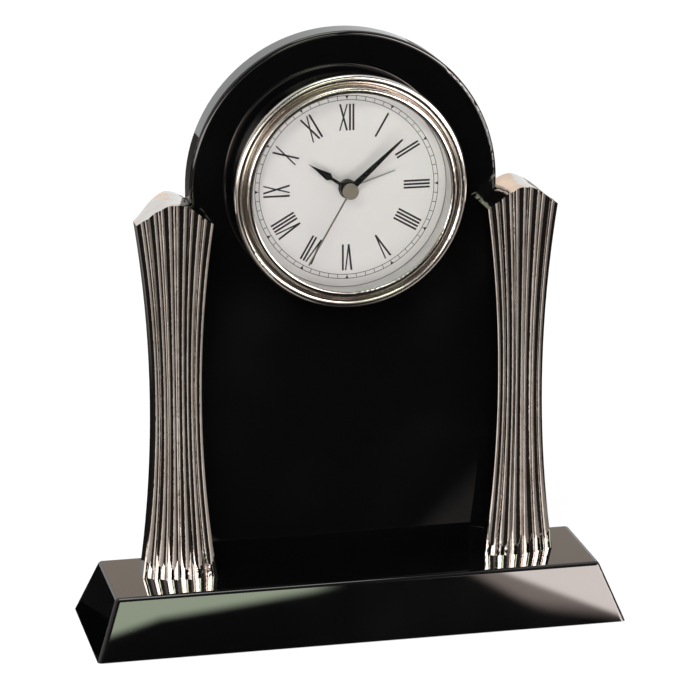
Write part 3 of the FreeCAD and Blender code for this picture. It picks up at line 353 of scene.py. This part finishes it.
def printed_ink():
    finish = Finish("dial_ink")
    grain = finish.noise(finish.object_point(), scale=5200.0, detail=2.0)
    return finish.surface(
        Base_Color=INK,
        Roughness=grain * 0.2 + 0.4,
        Normal=finish.bump(grain, PAPER_GRAIN),
    )


def painted(name, colour, worn, rough):
    """Sprayed paint on thin metal, with a slight orange peel."""
    finish = Finish(name)
    point = finish.object_point()
    peel = finish.noise(point, scale=1500.0, detail=2.0)
    return finish.surface(
        Base_Color=finish.mix(peel.clamped(0.4, 0.8), colour, worn),
        Roughness=peel * 0.12 + rough,
        Normal=finish.bump(peel, PAINT_PEEL),
    )


def circuit_laminate():
    """Green laminate with lines of copper under the varnish."""
    finish = Finish("board")
    point = finish.object_point()
    x, _, z = finish.parts(point)
    columns = (x * TRACK_PITCHES[0]).maths("SINE").clamped(0.80, 0.86)
    breaks = (z * TRACK_PITCHES[1]).maths("SINE").clamped(-0.4, -0.2)
    tracks = columns * breaks
    return finish.surface(
        Base_Color=finish.mix(tracks, BOARD_GREEN, TRACK_GREEN),
        Roughness=tracks * -0.1 + 0.38,
        Normal=finish.bump(tracks, TRACK_THICKNESS),
    )


def wound_copper(axis_z):
    """Fine enamelled wire wound turn by turn up the coil, painted darker in the grooves between turns as
    painted shade.
    """
    finish = Finish("copper")
    point = finish.object_point()
    _, _, z = finish.parts(point)
    ridges = ((z - axis_z) * WIRE_PITCH).maths("SINE")
    return finish.surface(
        # painted shade: the colour goes dark where the wire's bump is low, between turns
        Base_Color=finish.mix(ridges.clamped(-1.0, 1.0), COPPER_GROOVE_SHADE, COPPER_LIGHT),
        Metallic=1.0,
        Roughness=0.32,
        Normal=finish.bump(ridges, WIRE_HEIGHT),
    )


def battery_wrap(low, high):
    """The cell's wrapper: a dark barrel with a bronze shoulder at its plus end, without words."""
    finish = Finish("battery_can")
    point = finish.object_point()
    x, _, _ = finish.parts(point)
    length = high.x - low.x
    shoulder = x > (low.x + length * SHOULDER_START)
    cap = x > (high.x - CAP_LENGTH)
    scuff = finish.noise(point, scale=300.0, detail=4.0).clamped(0.5, 0.8)
    barrel = finish.mix(scuff, BARREL_BLACK, BARREL_SCUFF)
    wrap = finish.mix(shoulder, barrel, SHOULDER_BRONZE)
    return finish.surface(
        Base_Color=finish.mix(cap, wrap, CAP_STEEL),
        Metallic=shoulder * 0.8 + 0.1,
        Roughness=scuff * 0.15 + 0.25,
        Normal=finish.bump(scuff, SCUFF_DEPTH),
    )


_, plinth_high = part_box("base_block")
dial_low, dial_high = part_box("dial")
DIAL_Z = (dial_low.z + dial_high.z) / 2
DIAL_FACE = dial_low.y

FINISHES = {
    "black_lacquer": black_lacquer("panel_lacquer", crown_x=0.05, crown_z=0.0, centre_z=DIAL_Z),
    "felt": felt_cloth(),
    "polished_nickel": polished_metal(
        "polished_nickel", NICKEL, NICKEL_SHADE, rough=0.02,
        grain_scale=(900.0, 900.0, 60.0), grain_height=0.000002),
    # the bezel's back side gets the painted shade
    "bezel_metal": spun_metal(
        "bezel_metal", BEZEL_SILVER, BEZEL_SHADE, rough=0.15, axis_z=DIAL_Z, side=BEZEL_SIDE),
    "collet_metal": spun_metal(
        "collet_metal", BEZEL_SILVER, BEZEL_SHADE, rough=0.15, axis_z=DIAL_Z),
    "lens_glass": clear_glass(),
    "white_wall": painted("white_wall", WALL_WHITE, WALL_SHADE, rough=0.45),
    "dial_print": dial_paper(DIAL_Z),
    "black_hand": painted("black_hand", HAND_BLACK, HAND_WORN, rough=0.22),
    "bright_hand": spun_metal(
        "bright_hand", HAND_SILVER, HAND_SHADE, rough=0.36, axis_z=DIAL_Z, middle=CAP_BRASS),
    "steel": polished_metal(
        "steel", STEEL, STEEL_SHADE, rough=0.22,
        grain_scale=(700.0, 700.0, 700.0), grain_height=0.00001),
    "brass": polished_metal(
        "brass", BRASS, BRASS_SHADE, rough=0.16,
        grain_scale=(1500.0, 200.0, 1500.0), grain_height=0.00001),
    "black_plastic": moulded_plastic("black_plastic", PLASTIC_BLACK, PLASTIC_WORN, rough=0.34),
    "white_plastic": moulded_plastic("white_plastic", PLASTIC_WHITE, PLASTIC_YELLOWED, rough=0.3),
    "rubber": moulded_plastic("rubber", RUBBER_BLACK, RUBBER_DUST, rough=0.62, grain=1400.0),
    "copper": wound_copper(DIAL_Z),
    "board": circuit_laminate(),
    "battery_can": battery_wrap(*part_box("battery")),
}
PLINTH_LACQUER = black_lacquer("plinth_lacquer", crown_x=0.42, crown_z=1.6, centre_z=plinth_high.z / 2)
DIAL_INK = printed_ink()

for part in frame["record"]["subparts"]:
    shown = frame["nodes"][part["node"]]
    material = PLINTH_LACQUER if part["node"] == "base_block" else FINISHES[part["material_slot"]]
    shown.data.materials.clear()
    shown.data.materials.append(material)


# Pieces made here

def finished(name, mesh, material, body):
    """Links a mesh that is already in place, and lets it ride on its body."""
    piece = bpy.data.objects.new(name, mesh)
    bpy.context.scene.collection.objects.link(piece)
    mesh.materials.clear()
    mesh.materials.append(material)
    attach(piece, body)
    return piece


def prisms(name, outlines, front, back):
    """One mesh of flat prisms; each outline is a list of (x, z), clockwise or not."""
    built = bmesh.new()
    for outline in outlines:
        near = [built.verts.new((x, front, z)) for x, z in outline]
        far = [built.verts.new((x, back, z)) for x, z in outline]
        built.faces.new(near)
        built.faces.new(far[::-1])
        count = len(outline)
        for index in range(count):
            following = (index + 1) % count
            built.faces.new((near[index], far[index], far[following], near[following]))
    bmesh.ops.recalc_face_normals(built, faces=built.faces)
    mesh = bpy.data.meshes.new(name)
    built.to_mesh(mesh)
    built.free()
    return mesh


def turned_ring(name, profile, axis_z, steps, smooth=True):
    """A ring turned about the dial's axis; the profile is a closed list of (radius, y)."""
    built = bmesh.new()
    rows = []
    for step in range(steps):
        angle = 2 * math.pi * step / steps
        rows.append([
            built.verts.new((radius * math.sin(angle), y, axis_z + radius * math.cos(angle)))
            for radius, y in profile
        ])
    count = len(profile)
    for step in range(steps):
        here, after = rows[step], rows[(step + 1) % steps]
        for index in range(count):
            following = (index + 1) % count
            built.faces.new((here[index], after[index], after[following], here[following]))
    bmesh.ops.recalc_face_normals(built, faces=built.faces)
    for face in built.faces:
        face.smooth = smooth
    mesh = bpy.data.meshes.new(name)
    built.to_mesh(mesh)
    built.free()
    return mesh


# Print on the dial: Roman numerals with their feet to the centre

PRINT_FRONT = DIAL_FACE - 0.03 * MM
PRINT_BACK = DIAL_FACE + 0.01 * MM
NUMERAL_FOOT = 17.8 * MM
NUMERAL_HEIGHT = 8.2 * MM
THICK = 0.60 * MM
THIN = 0.44 * MM
STEM_PITCH = 1.06 * MM
CROSS_WIDTH = 2.75 * MM
VEE_WIDTH = 2.35 * MM
LETTER_GAP = 0.34 * MM
NUMERALS = ("XII", "I", "II", "III", "IIII", "V", "VI", "VII", "VIII", "IX", "X", "XI")


def letter_strokes(letter):
    """Strokes as (foot, head, width) along the baseline, and how far the letter reaches."""
    if letter == "I":
        return [(THICK / 2, THICK / 2, THICK)], THICK
    if letter == "V":
        foot = VEE_WIDTH / 2
        return [(foot, THICK / 2, THICK), (foot, VEE_WIDTH - THIN / 2, THIN)], VEE_WIDTH
    right = CROSS_WIDTH - THICK / 2
    return [(right, THICK / 2, THICK), (THIN / 2, CROSS_WIDTH - THIN / 2, THIN)], CROSS_WIDTH


def numeral_outlines(hour):
    """Slanted bars of one numeral, turned to its hour."""
    strokes = []
    place = 0.0
    for letter in NUMERALS[hour]:
        bars, reach = letter_strokes(letter)
        strokes += [(place + foot, place + head, width) for foot, head, width in bars]
        place += reach + (STEM_PITCH - THICK if letter == "I" else LETTER_GAP)
    middle = (place - LETTER_GAP) / 2
    angle = 2 * math.pi * hour / len(NUMERALS)
    along = Vector((math.cos(angle), -math.sin(angle)))
    outwards = Vector((math.sin(angle), math.cos(angle)))
    outlines = []
    for foot, head, width in strokes:
        corners = (
            (foot - width / 2, 0.0), (foot + width / 2, 0.0),
            (head + width / 2, NUMERAL_HEIGHT), (head - width / 2, NUMERAL_HEIGHT),
        )
        outline = []
        for across, up in corners:
            spot = along * (across - middle) + outwards * (NUMERAL_FOOT + up)
            outline.append((spot.x, DIAL_Z + spot.y))
        outlines.append(outline)
    return outlines


numeral_bars = [outline for hour in range(len(NUMERALS)) for outline in numeral_outlines(hour)]
numerals = prisms("dial_numerals", numeral_bars, PRINT_FRONT, PRINT_BACK)
finished("dial_numerals", numerals, DIAL_INK, "root")

TRACK_INNER = 27.3 * MM
TRACK_OUTER = 28.6 * MM
TRACK_LINE = 0.17 * MM
DIAL_EDGE = 31.15 * MM
RING_STEPS = 180

for label, radius in (("inner", TRACK_INNER), ("outer", TRACK_OUTER), ("edge", DIAL_EDGE)):
    profile = (
        (radius - TRACK_LINE / 2, PRINT_BACK), (radius + TRACK_LINE / 2, PRINT_BACK),
        (radius + TRACK_LINE / 2, PRINT_FRONT), (radius - TRACK_LINE / 2, PRINT_FRONT),
    )
    name = "minute_track_%s_line" % label
    line = turned_ring(name, profile, DIAL_Z, RING_STEPS, smooth=False)
    finished(name, line, DIAL_INK, "root")


def ring_tree(name, add_mark):
    """Repeats one small mark round the dial's axis, each turned to point at the centre."""
    tree = bpy.data.node_groups.new(name, "GeometryNodeTree")
    tree.is_modifier = True
    sockets = (
        ("Count", "NodeSocketInt"), ("Radius", "NodeSocketFloat"), ("Size", "NodeSocketVector"),
        ("Centre", "NodeSocketVector"), ("Start", "NodeSocketFloat"), ("Material", "NodeSocketMaterial"),
    )
    for label, kind in sockets:
        tree.interface.new_socket(label, in_out="INPUT", socket_type=kind)
    tree.interface.new_socket("Geometry", in_out="OUTPUT", socket_type="NodeSocketGeometry")
    graph = Graph(tree)
    entry = tree.nodes.new("NodeGroupInput")
    given = {label: Value(graph, entry.outputs[label]) for label, _ in sockets}
    index = graph.node("GeometryNodeInputIndex")
    angle = index * (2 * math.pi) / given["Count"] + given["Start"]
    spot = graph.node("ShaderNodeCombineXYZ", {}, {
        0: angle.maths("SINE") * given["Radius"],
        2: angle.maths("COSINE") * given["Radius"],
    })
    place = graph.node("ShaderNodeVectorMath", {"operation": "ADD"}, {0: spot, 1: given["Centre"]})
    points = graph.node("GeometryNodePoints", {}, {"Count": given["Count"], "Position": place})
    turn = graph.node("FunctionNodeAxisAngleToRotation", {}, {"Axis": (0.0, 1.0, 0.0), "Angle": angle})
    marks = graph.node("GeometryNodeInstanceOnPoints", {}, {
        "Points": points, "Instance": add_mark(graph, given["Size"]), "Rotation": turn,
    })
    whole = graph.node("GeometryNodeRealizeInstances", {}, {"Geometry": marks})
    coloured = graph.node("GeometryNodeSetMaterial", {}, {"Geometry": whole, "Material": given["Material"]})
    leave = tree.nodes.new("NodeGroupOutput")
    tree.links.new(coloured.socket, leave.inputs["Geometry"])
    return tree


def bar_mark(graph, size):
    return graph.node("GeometryNodeMeshCube", {}, {"Size": size})


def point_mark(graph, size):
    """A three-sided prism, its axis along the dial's, with one corner towards the centre."""
    prism = graph.node("GeometryNodeMeshCylinder", {}, {"Vertices": 3, "Radius": 1.0, "Depth": 1.0})
    turned = graph.node("GeometryNodeTransform", {}, {
        "Geometry": prism, "Rotation": Euler((math.pi / 2, math.pi / 2, 0.0)),
    })
    return graph.node("GeometryNodeTransform", {}, {"Geometry": turned, "Scale": size})


def cross_mark(graph, size):
    """Two crossed bars, as in the head of a screw."""
    upright = graph.node("GeometryNodeMeshCube", {}, {"Size": size})
    level = graph.node("GeometryNodeTransform", {}, {
        "Geometry": upright, "Rotation": Euler((0.0, math.pi / 2, 0.0)),
    })
    both = graph.tree.nodes.new("GeometryNodeJoinGeometry")
    graph.tree.links.new(upright.socket, both.inputs[0])
    graph.tree.links.new(level.socket, both.inputs[0])
    return Value(graph, both.outputs[0])


def repeated(name, tree, values, material, body):
    """Runs a tree on an empty mesh and keeps the result as a plain mesh."""
    carrier = bpy.data.objects.new(name + "_carrier", bpy.data.meshes.new(name + "_carrier"))
    bpy.context.scene.collection.objects.link(carrier)
    modifier = carrier.modifiers.new("Repeat", "NODES")
    modifier.node_group = tree
    entries = [item for item in tree.interface.items_tree if item.in_out == "INPUT"]
    identifiers = {item.name: item.identifier for item in entries}
    for label, value in values.items():
        modifier[identifiers[label]] = value
    modifier[identifiers["Material"]] = material
    bpy.context.view_layer.update()
    evaluated = carrier.evaluated_get(bpy.context.evaluated_depsgraph_get())
    mesh = bpy.data.meshes.new_from_object(evaluated)
    bpy.data.objects.remove(carrier)
    mesh.name = name
    return finished(name, mesh, material, body)


PRINT_MIDDLE = (PRINT_FRONT + PRINT_BACK) / 2
PRINT_DEPTH = PRINT_BACK - PRINT_FRONT
DIAL_MIDDLE = (0.0, PRINT_MIDDLE, DIAL_Z)
POINT_RADIUS = 0.66 * MM
POINT_DEPTH = PRINT_DEPTH * 1.1
MINUTES = 60
bars = ring_tree("bars_round_the_dial", bar_mark)
repeated("minute_ticks", bars, {
    "Count": MINUTES, "Radius": (TRACK_INNER + TRACK_OUTER) / 2, "Centre": DIAL_MIDDLE, "Start": 0.0,
    "Size": (TRACK_LINE, PRINT_DEPTH, TRACK_OUTER - TRACK_INNER),
}, DIAL_INK, "root")
repeated("hour_points", ring_tree("points_round_the_dial", point_mark), {
    "Count": len(NUMERALS), "Radius": TRACK_OUTER - POINT_RADIUS / 2, "Centre": DIAL_MIDDLE, "Start": 0.0,
    "Size": (POINT_RADIUS, POINT_DEPTH, POINT_RADIUS),
}, DIAL_INK, "root")

# Collet of the hour hand, pressed on its tube

hour_low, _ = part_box("hour_hand")
COLLET_OUTER = 2.6 * MM
COLLET_INNER = 1.35 * MM
COLLET_STAND = 0.25 * MM
COLLET_ROUND = 0.12 * MM
COLLET_STEPS = 48
collet = (
    (COLLET_INNER, hour_low.y), (COLLET_OUTER, hour_low.y),
    (COLLET_OUTER, hour_low.y - COLLET_STAND + COLLET_ROUND),
    (COLLET_OUTER - COLLET_ROUND, hour_low.y - COLLET_STAND),
    (COLLET_INNER, hour_low.y - COLLET_STAND),
)
collar = turned_ring("hour_hand_collet", collet, DIAL_Z, COLLET_STEPS, smooth=False)
finished("hour_hand_collet", collar, FINISHES["collet_metal"], "hours")

# Crosses in the heads of the rear cover's screws

screws_low, screws_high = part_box("cover_screws")
SCREW_HEAD = 1.7 * MM
CROSS_DEPTH = 0.04 * MM
CROSS_SIZE = (0.42 * MM, CROSS_DEPTH, 2.1 * MM)
post_radius = DIAL_Z - screws_low.z - SCREW_HEAD
post_rise = screws_high.z - SCREW_HEAD - DIAL_Z
post_turn = math.acos(post_rise / post_radius)
crosses = ring_tree("crosses_round_the_dial", cross_mark)
for label, start in (("lower", math.pi), ("left", -post_turn), ("right", post_turn)):
    repeated("cover_screw_cross_" + label, crosses, {
        "Count": 1, "Radius": post_radius, "Centre": (0.0, screws_high.y, DIAL_Z), "Start": start,
        "Size": CROSS_SIZE,
    }, FINISHES["black_plastic"], "root")


# Words moulded on the back, level with the screw heads

LETTER_HEIGHT = 2.3 * MM
LETTER_RELIEF = 0.12 * MM
LETTER_FACE = screws_high.y


def moulded_word(name, words, x, z):
    """Raised letters on the back cover, read from behind."""
    curve = bpy.data.curves.new(name, "FONT")
    curve.body = words
    curve.size = LETTER_HEIGHT
    curve.extrude = LETTER_RELIEF
    curve.align_x = "CENTER"
    text = bpy.data.objects.new(name + "_text", curve)
    bpy.context.scene.collection.objects.link(text)
    bpy.context.view_layer.update()
    evaluated = text.evaluated_get(bpy.context.evaluated_depsgraph_get())
    mesh = bpy.data.meshes.new_from_object(evaluated)
    bpy.data.objects.remove(text)
    upright = Matrix.Rotation(math.pi, 4, "Z") @ Matrix.Rotation(math.pi / 2, 4, "X")
    mesh.transform(Matrix.Translation((x, LETTER_FACE, z)) @ upright)
    mesh.name = name
    return finished(name, mesh, FINISHES["black_plastic"], "root")


switch_low, switch_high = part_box("alarm_switch")
SWITCH_TRAVEL = 3.0 * MM
word_line = switch_high.z + 1.6 * MM
moulded_word("switch_word_off", "OFF", switch_low.x, word_line)
moulded_word("switch_word_on", "ON", switch_high.x + SWITCH_TRAVEL, word_line)


# Floor, lights and camera

def compass_of(x, y):
    """Which way a point lies, as a share of a turn: 0 and 1 behind, 0.25 left, 0.5 in front."""
    return x.maths("ARCTAN2", y * -1.0) / (2 * math.pi) + 0.5


def studio_tone(graph, compass, stops):
    """Tones that a polished surface mirrors, by compass."""
    return graph.node("ShaderNodeValToRGB", {"stops": stops}, {"Fac": compass})


def warm(level):
    return (level, level * 0.93, level * 0.87)


def brown(level):
    return (level, level * 0.84, level * 0.70)


# Places by compass are shares of a turn; heights are the upward part of a direction of length 1
FLOOR_TONES = (
    (0.00, warm(0.50)), (0.06, warm(0.012)), (0.215, warm(0.012)), (0.24, warm(1.3)), (0.262, warm(1.2)),
    (0.272, warm(0.02)), (0.325, warm(0.03)), (0.345, warm(0.38)), (0.40, warm(0.60)), (0.425, warm(1.4)),
    (0.440, warm(0.02)), (0.585, warm(0.02)), (0.60, warm(0.28)), (0.672, warm(0.38)), (0.68, warm(1.5)),
    (0.71, warm(1.2)), (0.72, warm(0.03)), (0.82, warm(0.03)), (0.90, warm(0.45)), (1.00, warm(0.50)),
)
FLOOR_LIGHT_ENDS = (0.16, 0.38)
FLOOR_LOSS = 0.25
NEAR_LEFT = (0.18, 0.278)
NEAR_FLOOR = (0.10, 0.13)
SKY_TONES = (
    (0.00, brown(1.15)), (0.12, warm(0.9)), (0.22, warm(0.85)), (0.33, warm(0.55)), (0.36, warm(0.10)),
    (0.48, warm(0.08)), (0.50, warm(0.012)), (0.565, warm(0.012)), (0.60, warm(0.12)), (0.66, warm(0.50)),
    (0.74, warm(0.10)), (0.88, warm(0.6)), (1.00, brown(1.15)),
)
LOW_GLOW = rgb(6.4, 6.2, 5.9)
LOW_BOXES = ((0.30, 0.455), (0.60, 0.73))
LOW_TOP = (0.24, 0.26)
LEFT_GLOW = rgb(6.4, 7.3, 5.4)
LEFT_BOX = (0.478, 0.535)
LEFT_EDGES = ((0.497, 3.4, 0.342), (0.509, 1.0, 0.380))
LEFT_SOFT = 0.022
RIGHT_GLOW = rgb(15.0, 13.4, 12.8)
RIGHT_HAZE = rgb(3.9, 3.2, 2.9)
RIGHT_BOX = (0.5, 0.73)
RIGHT_FOOT = (0.278, 0.288)
RIGHT_EDGE = (0.5584, -8.0, 0.395)
HAZE_EDGES = ((0.5534, -11.5, 0.397), (0.5594, -3.4, 0.328))
RIGHT_SOFT = (-0.008, 0.010)
HAZE_SOFT = (-0.010, 0.030)
BOX_TOP = (0.52, 0.56)
ZENITH = rgb(0.93, 0.95, 0.965)
ZENITH_START = (0.55, 0.75)
HIGH_FRONT = (0.34, 0.70)
HIGH_TONE = rgb(0.10, 0.10, 0.10)
HIGH_ENDS = (0.955, 0.965)
TOP_GLOW = rgb(5.2, 5.3, 5.0)
TOP_START = (0.968, 0.978)
BACK_GREY = rgb(1.0, 1.02, 1.02)
BACK_ENDS = ((0.10, 0.14), (0.86, 0.90))
BACK_TOP = (0.270, 0.290)
LEVEL_GLOW = rgb(1.05, 1.0, 0.95)
LEVEL_BOX = (0.40, 0.625)
LEVEL_ENDS = (0.10, 0.16)
BOX_EDGE = 0.006
WHITE = rgb(1.0, 1.0, 1.0)
BLACK = rgb(0.0, 0.0, 0.0)
WORLD_FILL = rgb(0.62, 0.62, 0.63)
FLOOR_ALBEDO = rgb(0.86, 0.86, 0.86)
FLOOR_WHITE_SHARE = 0.86
FLOOR_SIZE = 6.0


def ray_kinds(graph):
    """How far a ray is a camera or transmitted one, and how far a mirrored one."""
    made = graph.tree.nodes.new("ShaderNodeLightPath")
    kinds = ("Is Camera Ray", "Is Glossy Ray", "Is Transmission Ray")
    camera, glossy, through = (Value(graph, made.outputs[name]) for name in kinds)
    return camera.maths("MAXIMUM", through), glossy


def pale_floor():
    """White paper to the eye and to the lamps, and the studio's tones in mirrored rays."""
    finish = Finish("floor")
    seen, mirrored = ray_kinds(finish)
    x, y, _ = finish.parts(finish.object_point())
    far = (x * x + y * y) ** 0.5
    compass = compass_of(x, y)
    tone = studio_tone(finish, compass, FLOOR_TONES)
    tone = finish.mix(far.clamped(*FLOOR_LIGHT_ENDS) * FLOOR_LOSS, tone, BLACK)
    near = (1.0 - far.clamped(*NEAR_FLOOR)) * between(compass, *NEAR_LEFT)
    tone = finish.mix(near, tone, BLACK)
    paper = finish.node("ShaderNodeBsdfDiffuse", {}, {"Color": FLOOR_ALBEDO})
    white = finish.node("ShaderNodeEmission", {}, {"Color": WHITE, "Strength": 1.0})
    studio = finish.node("ShaderNodeEmission", {}, {"Color": tone, "Strength": 1.0})
    plain = finish.node("ShaderNodeMixShader", {}, {0: seen * FLOOR_WHITE_SHARE, 1: paper, 2: white})
    return finish.shown(finish.node("ShaderNodeMixShader", {}, {0: mirrored, 1: plain, 2: studio}))


def between(value, low, high):
    """1 from low to high and 0 outside, with narrow soft ends."""
    return value.clamped(low, low + BOX_EDGE) * (1.0 - value.clamped(high - BOX_EDGE, high))


def beyond(compass, z, edge):
    """How far a direction lies above a sloping edge, given by its start, slope and foot."""
    start, slope, foot = edge
    return z - (compass - start) * slope - foot


def pale_world():
    """White to the eye, pale as light, and the studio's soft boxes in mirrored rays."""
    world = bpy.data.worlds.new("studio")
    bpy.context.scene.world = world
    world.use_nodes = True
    world.node_tree.nodes.clear()
    graph = Graph(world.node_tree)
    seen, mirrored = ray_kinds(graph)
    made = world.node_tree.nodes.new("ShaderNodeTexCoord")
    x, y, z = graph.parts(Value(graph, made.outputs["Generated"]))
    compass = compass_of(x, y)
    tone = studio_tone(graph, compass, SKY_TONES)
    under_top = 1.0 - z.clamped(*BOX_TOP)
    level = between(compass, *LEVEL_BOX) * (1.0 - z.clamped(*LEVEL_ENDS))
    tone = graph.mix(level, tone, LEVEL_GLOW)
    low = between(compass, *LOW_BOXES[0]) + between(compass, *LOW_BOXES[1])
    tone = graph.mix(low * (1.0 - z.clamped(*LOW_TOP)), tone, LOW_GLOW)
    back = (1.0 - compass.clamped(*BACK_ENDS[0])) + compass.clamped(*BACK_ENDS[1])
    tone = graph.mix(back * (1.0 - z.clamped(*BACK_TOP)), tone, BACK_GREY)
    left = [beyond(compass, z, edge).clamped(0.0, LEFT_SOFT) for edge in LEFT_EDGES]
    left = left[0].maths("MAXIMUM", left[1]) * between(compass, *LEFT_BOX)
    tone = graph.mix(left * under_top, tone, LEFT_GLOW)
    right = z.clamped(*RIGHT_FOOT) * between(compass, *RIGHT_BOX) * under_top
    haze = [beyond(compass, z, edge).clamped(*HAZE_SOFT) for edge in HAZE_EDGES]
    tone = graph.mix(right * haze[0] * haze[1], tone, RIGHT_HAZE)
    box = beyond(compass, z, RIGHT_EDGE).clamped(*RIGHT_SOFT)
    tone = graph.mix(right * box, tone, RIGHT_GLOW)
    tone = graph.mix(z.clamped(*ZENITH_START), tone, ZENITH)
    front = between(compass, *HIGH_FRONT) * z.clamped(*BOX_TOP) * (1.0 - z.clamped(*HIGH_ENDS))
    tone = graph.mix(front, tone, HIGH_TONE)
    tone = graph.mix(z.clamped(*TOP_START), tone, TOP_GLOW)
    colour = graph.mix(mirrored, graph.mix(seen, WORLD_FILL, WHITE), tone)
    background = graph.node("ShaderNodeBackground", {}, {"Color": colour, "Strength": 1.0})
    output = world.node_tree.nodes.new("ShaderNodeOutputWorld")
    world.node_tree.links.new(background.socket, output.inputs["Surface"])


def soft_lamp(name, place, size, power):
    """A rectangular lamp that points at the clock and isn't mirrored."""
    lamp = bpy.data.lights.new(name, "AREA")
    lamp.shape = "RECTANGLE"
    lamp.size, lamp.size_y = size
    lamp.energy = power
    holder = bpy.data.objects.new(name, lamp)
    bpy.context.scene.collection.objects.link(holder)
    holder.visible_glossy = False
    holder.location = place
    holder.rotation_euler = (LAMP_AIM - Vector(place)).to_track_quat("-Z", "Y").to_euler()


floor_mesh = bpy.data.meshes.new("floor")
half = FLOOR_SIZE / 2
floor_corners = [(-half, -half, 0), (half, -half, 0), (half, half, 0), (-half, half, 0)]
floor_mesh.from_pydata(floor_corners, [], [(0, 1, 2, 3)])
floor = bpy.data.objects.new("floor", floor_mesh)
bpy.context.scene.collection.objects.link(floor)
floor_mesh.materials.append(pale_floor())
pale_world()
LAMP_AIM = Vector((0.0, 0.0, 0.09))
soft_lamp("key", place=(-0.75, -1.0, 1.25), size=(0.9, 0.7), power=50.0)
soft_lamp("fill", place=(1.1, -0.9, 0.9), size=(0.5, 1.0), power=20.0)
soft_lamp("back", place=(0.3, 1.2, 1.1), size=(1.2, 0.5), power=6.0)

CAMERA_YAW = math.radians(-12.69)
CAMERA_RISE = math.radians(16.18)
CAMERA_DISTANCE = 1.04569
CAMERA_AIM = Vector((0.00042, 0.0, 0.08713))
FOCAL_PIXELS = 3392.55
PHOTO_WIDTH = 700

camera_data = bpy.data.cameras.new("camera")
camera_data.sensor_fit = "HORIZONTAL"
camera_data.lens = FOCAL_PIXELS * camera_data.sensor_width / PHOTO_WIDTH
camera = bpy.data.objects.new("camera", camera_data)
bpy.context.scene.collection.objects.link(camera)
camera.location = CAMERA_AIM + CAMERA_DISTANCE * Vector((
    math.cos(CAMERA_RISE) * math.sin(CAMERA_YAW),
    -math.cos(CAMERA_RISE) * math.cos(CAMERA_YAW),
    math.sin(CAMERA_RISE),
))
camera.rotation_euler = (CAMERA_AIM - camera.location).to_track_quat("-Z", "Y").to_euler()
bpy.context.scene.camera = camera
bpy.context.scene.view_settings.view_transform = "Standard"
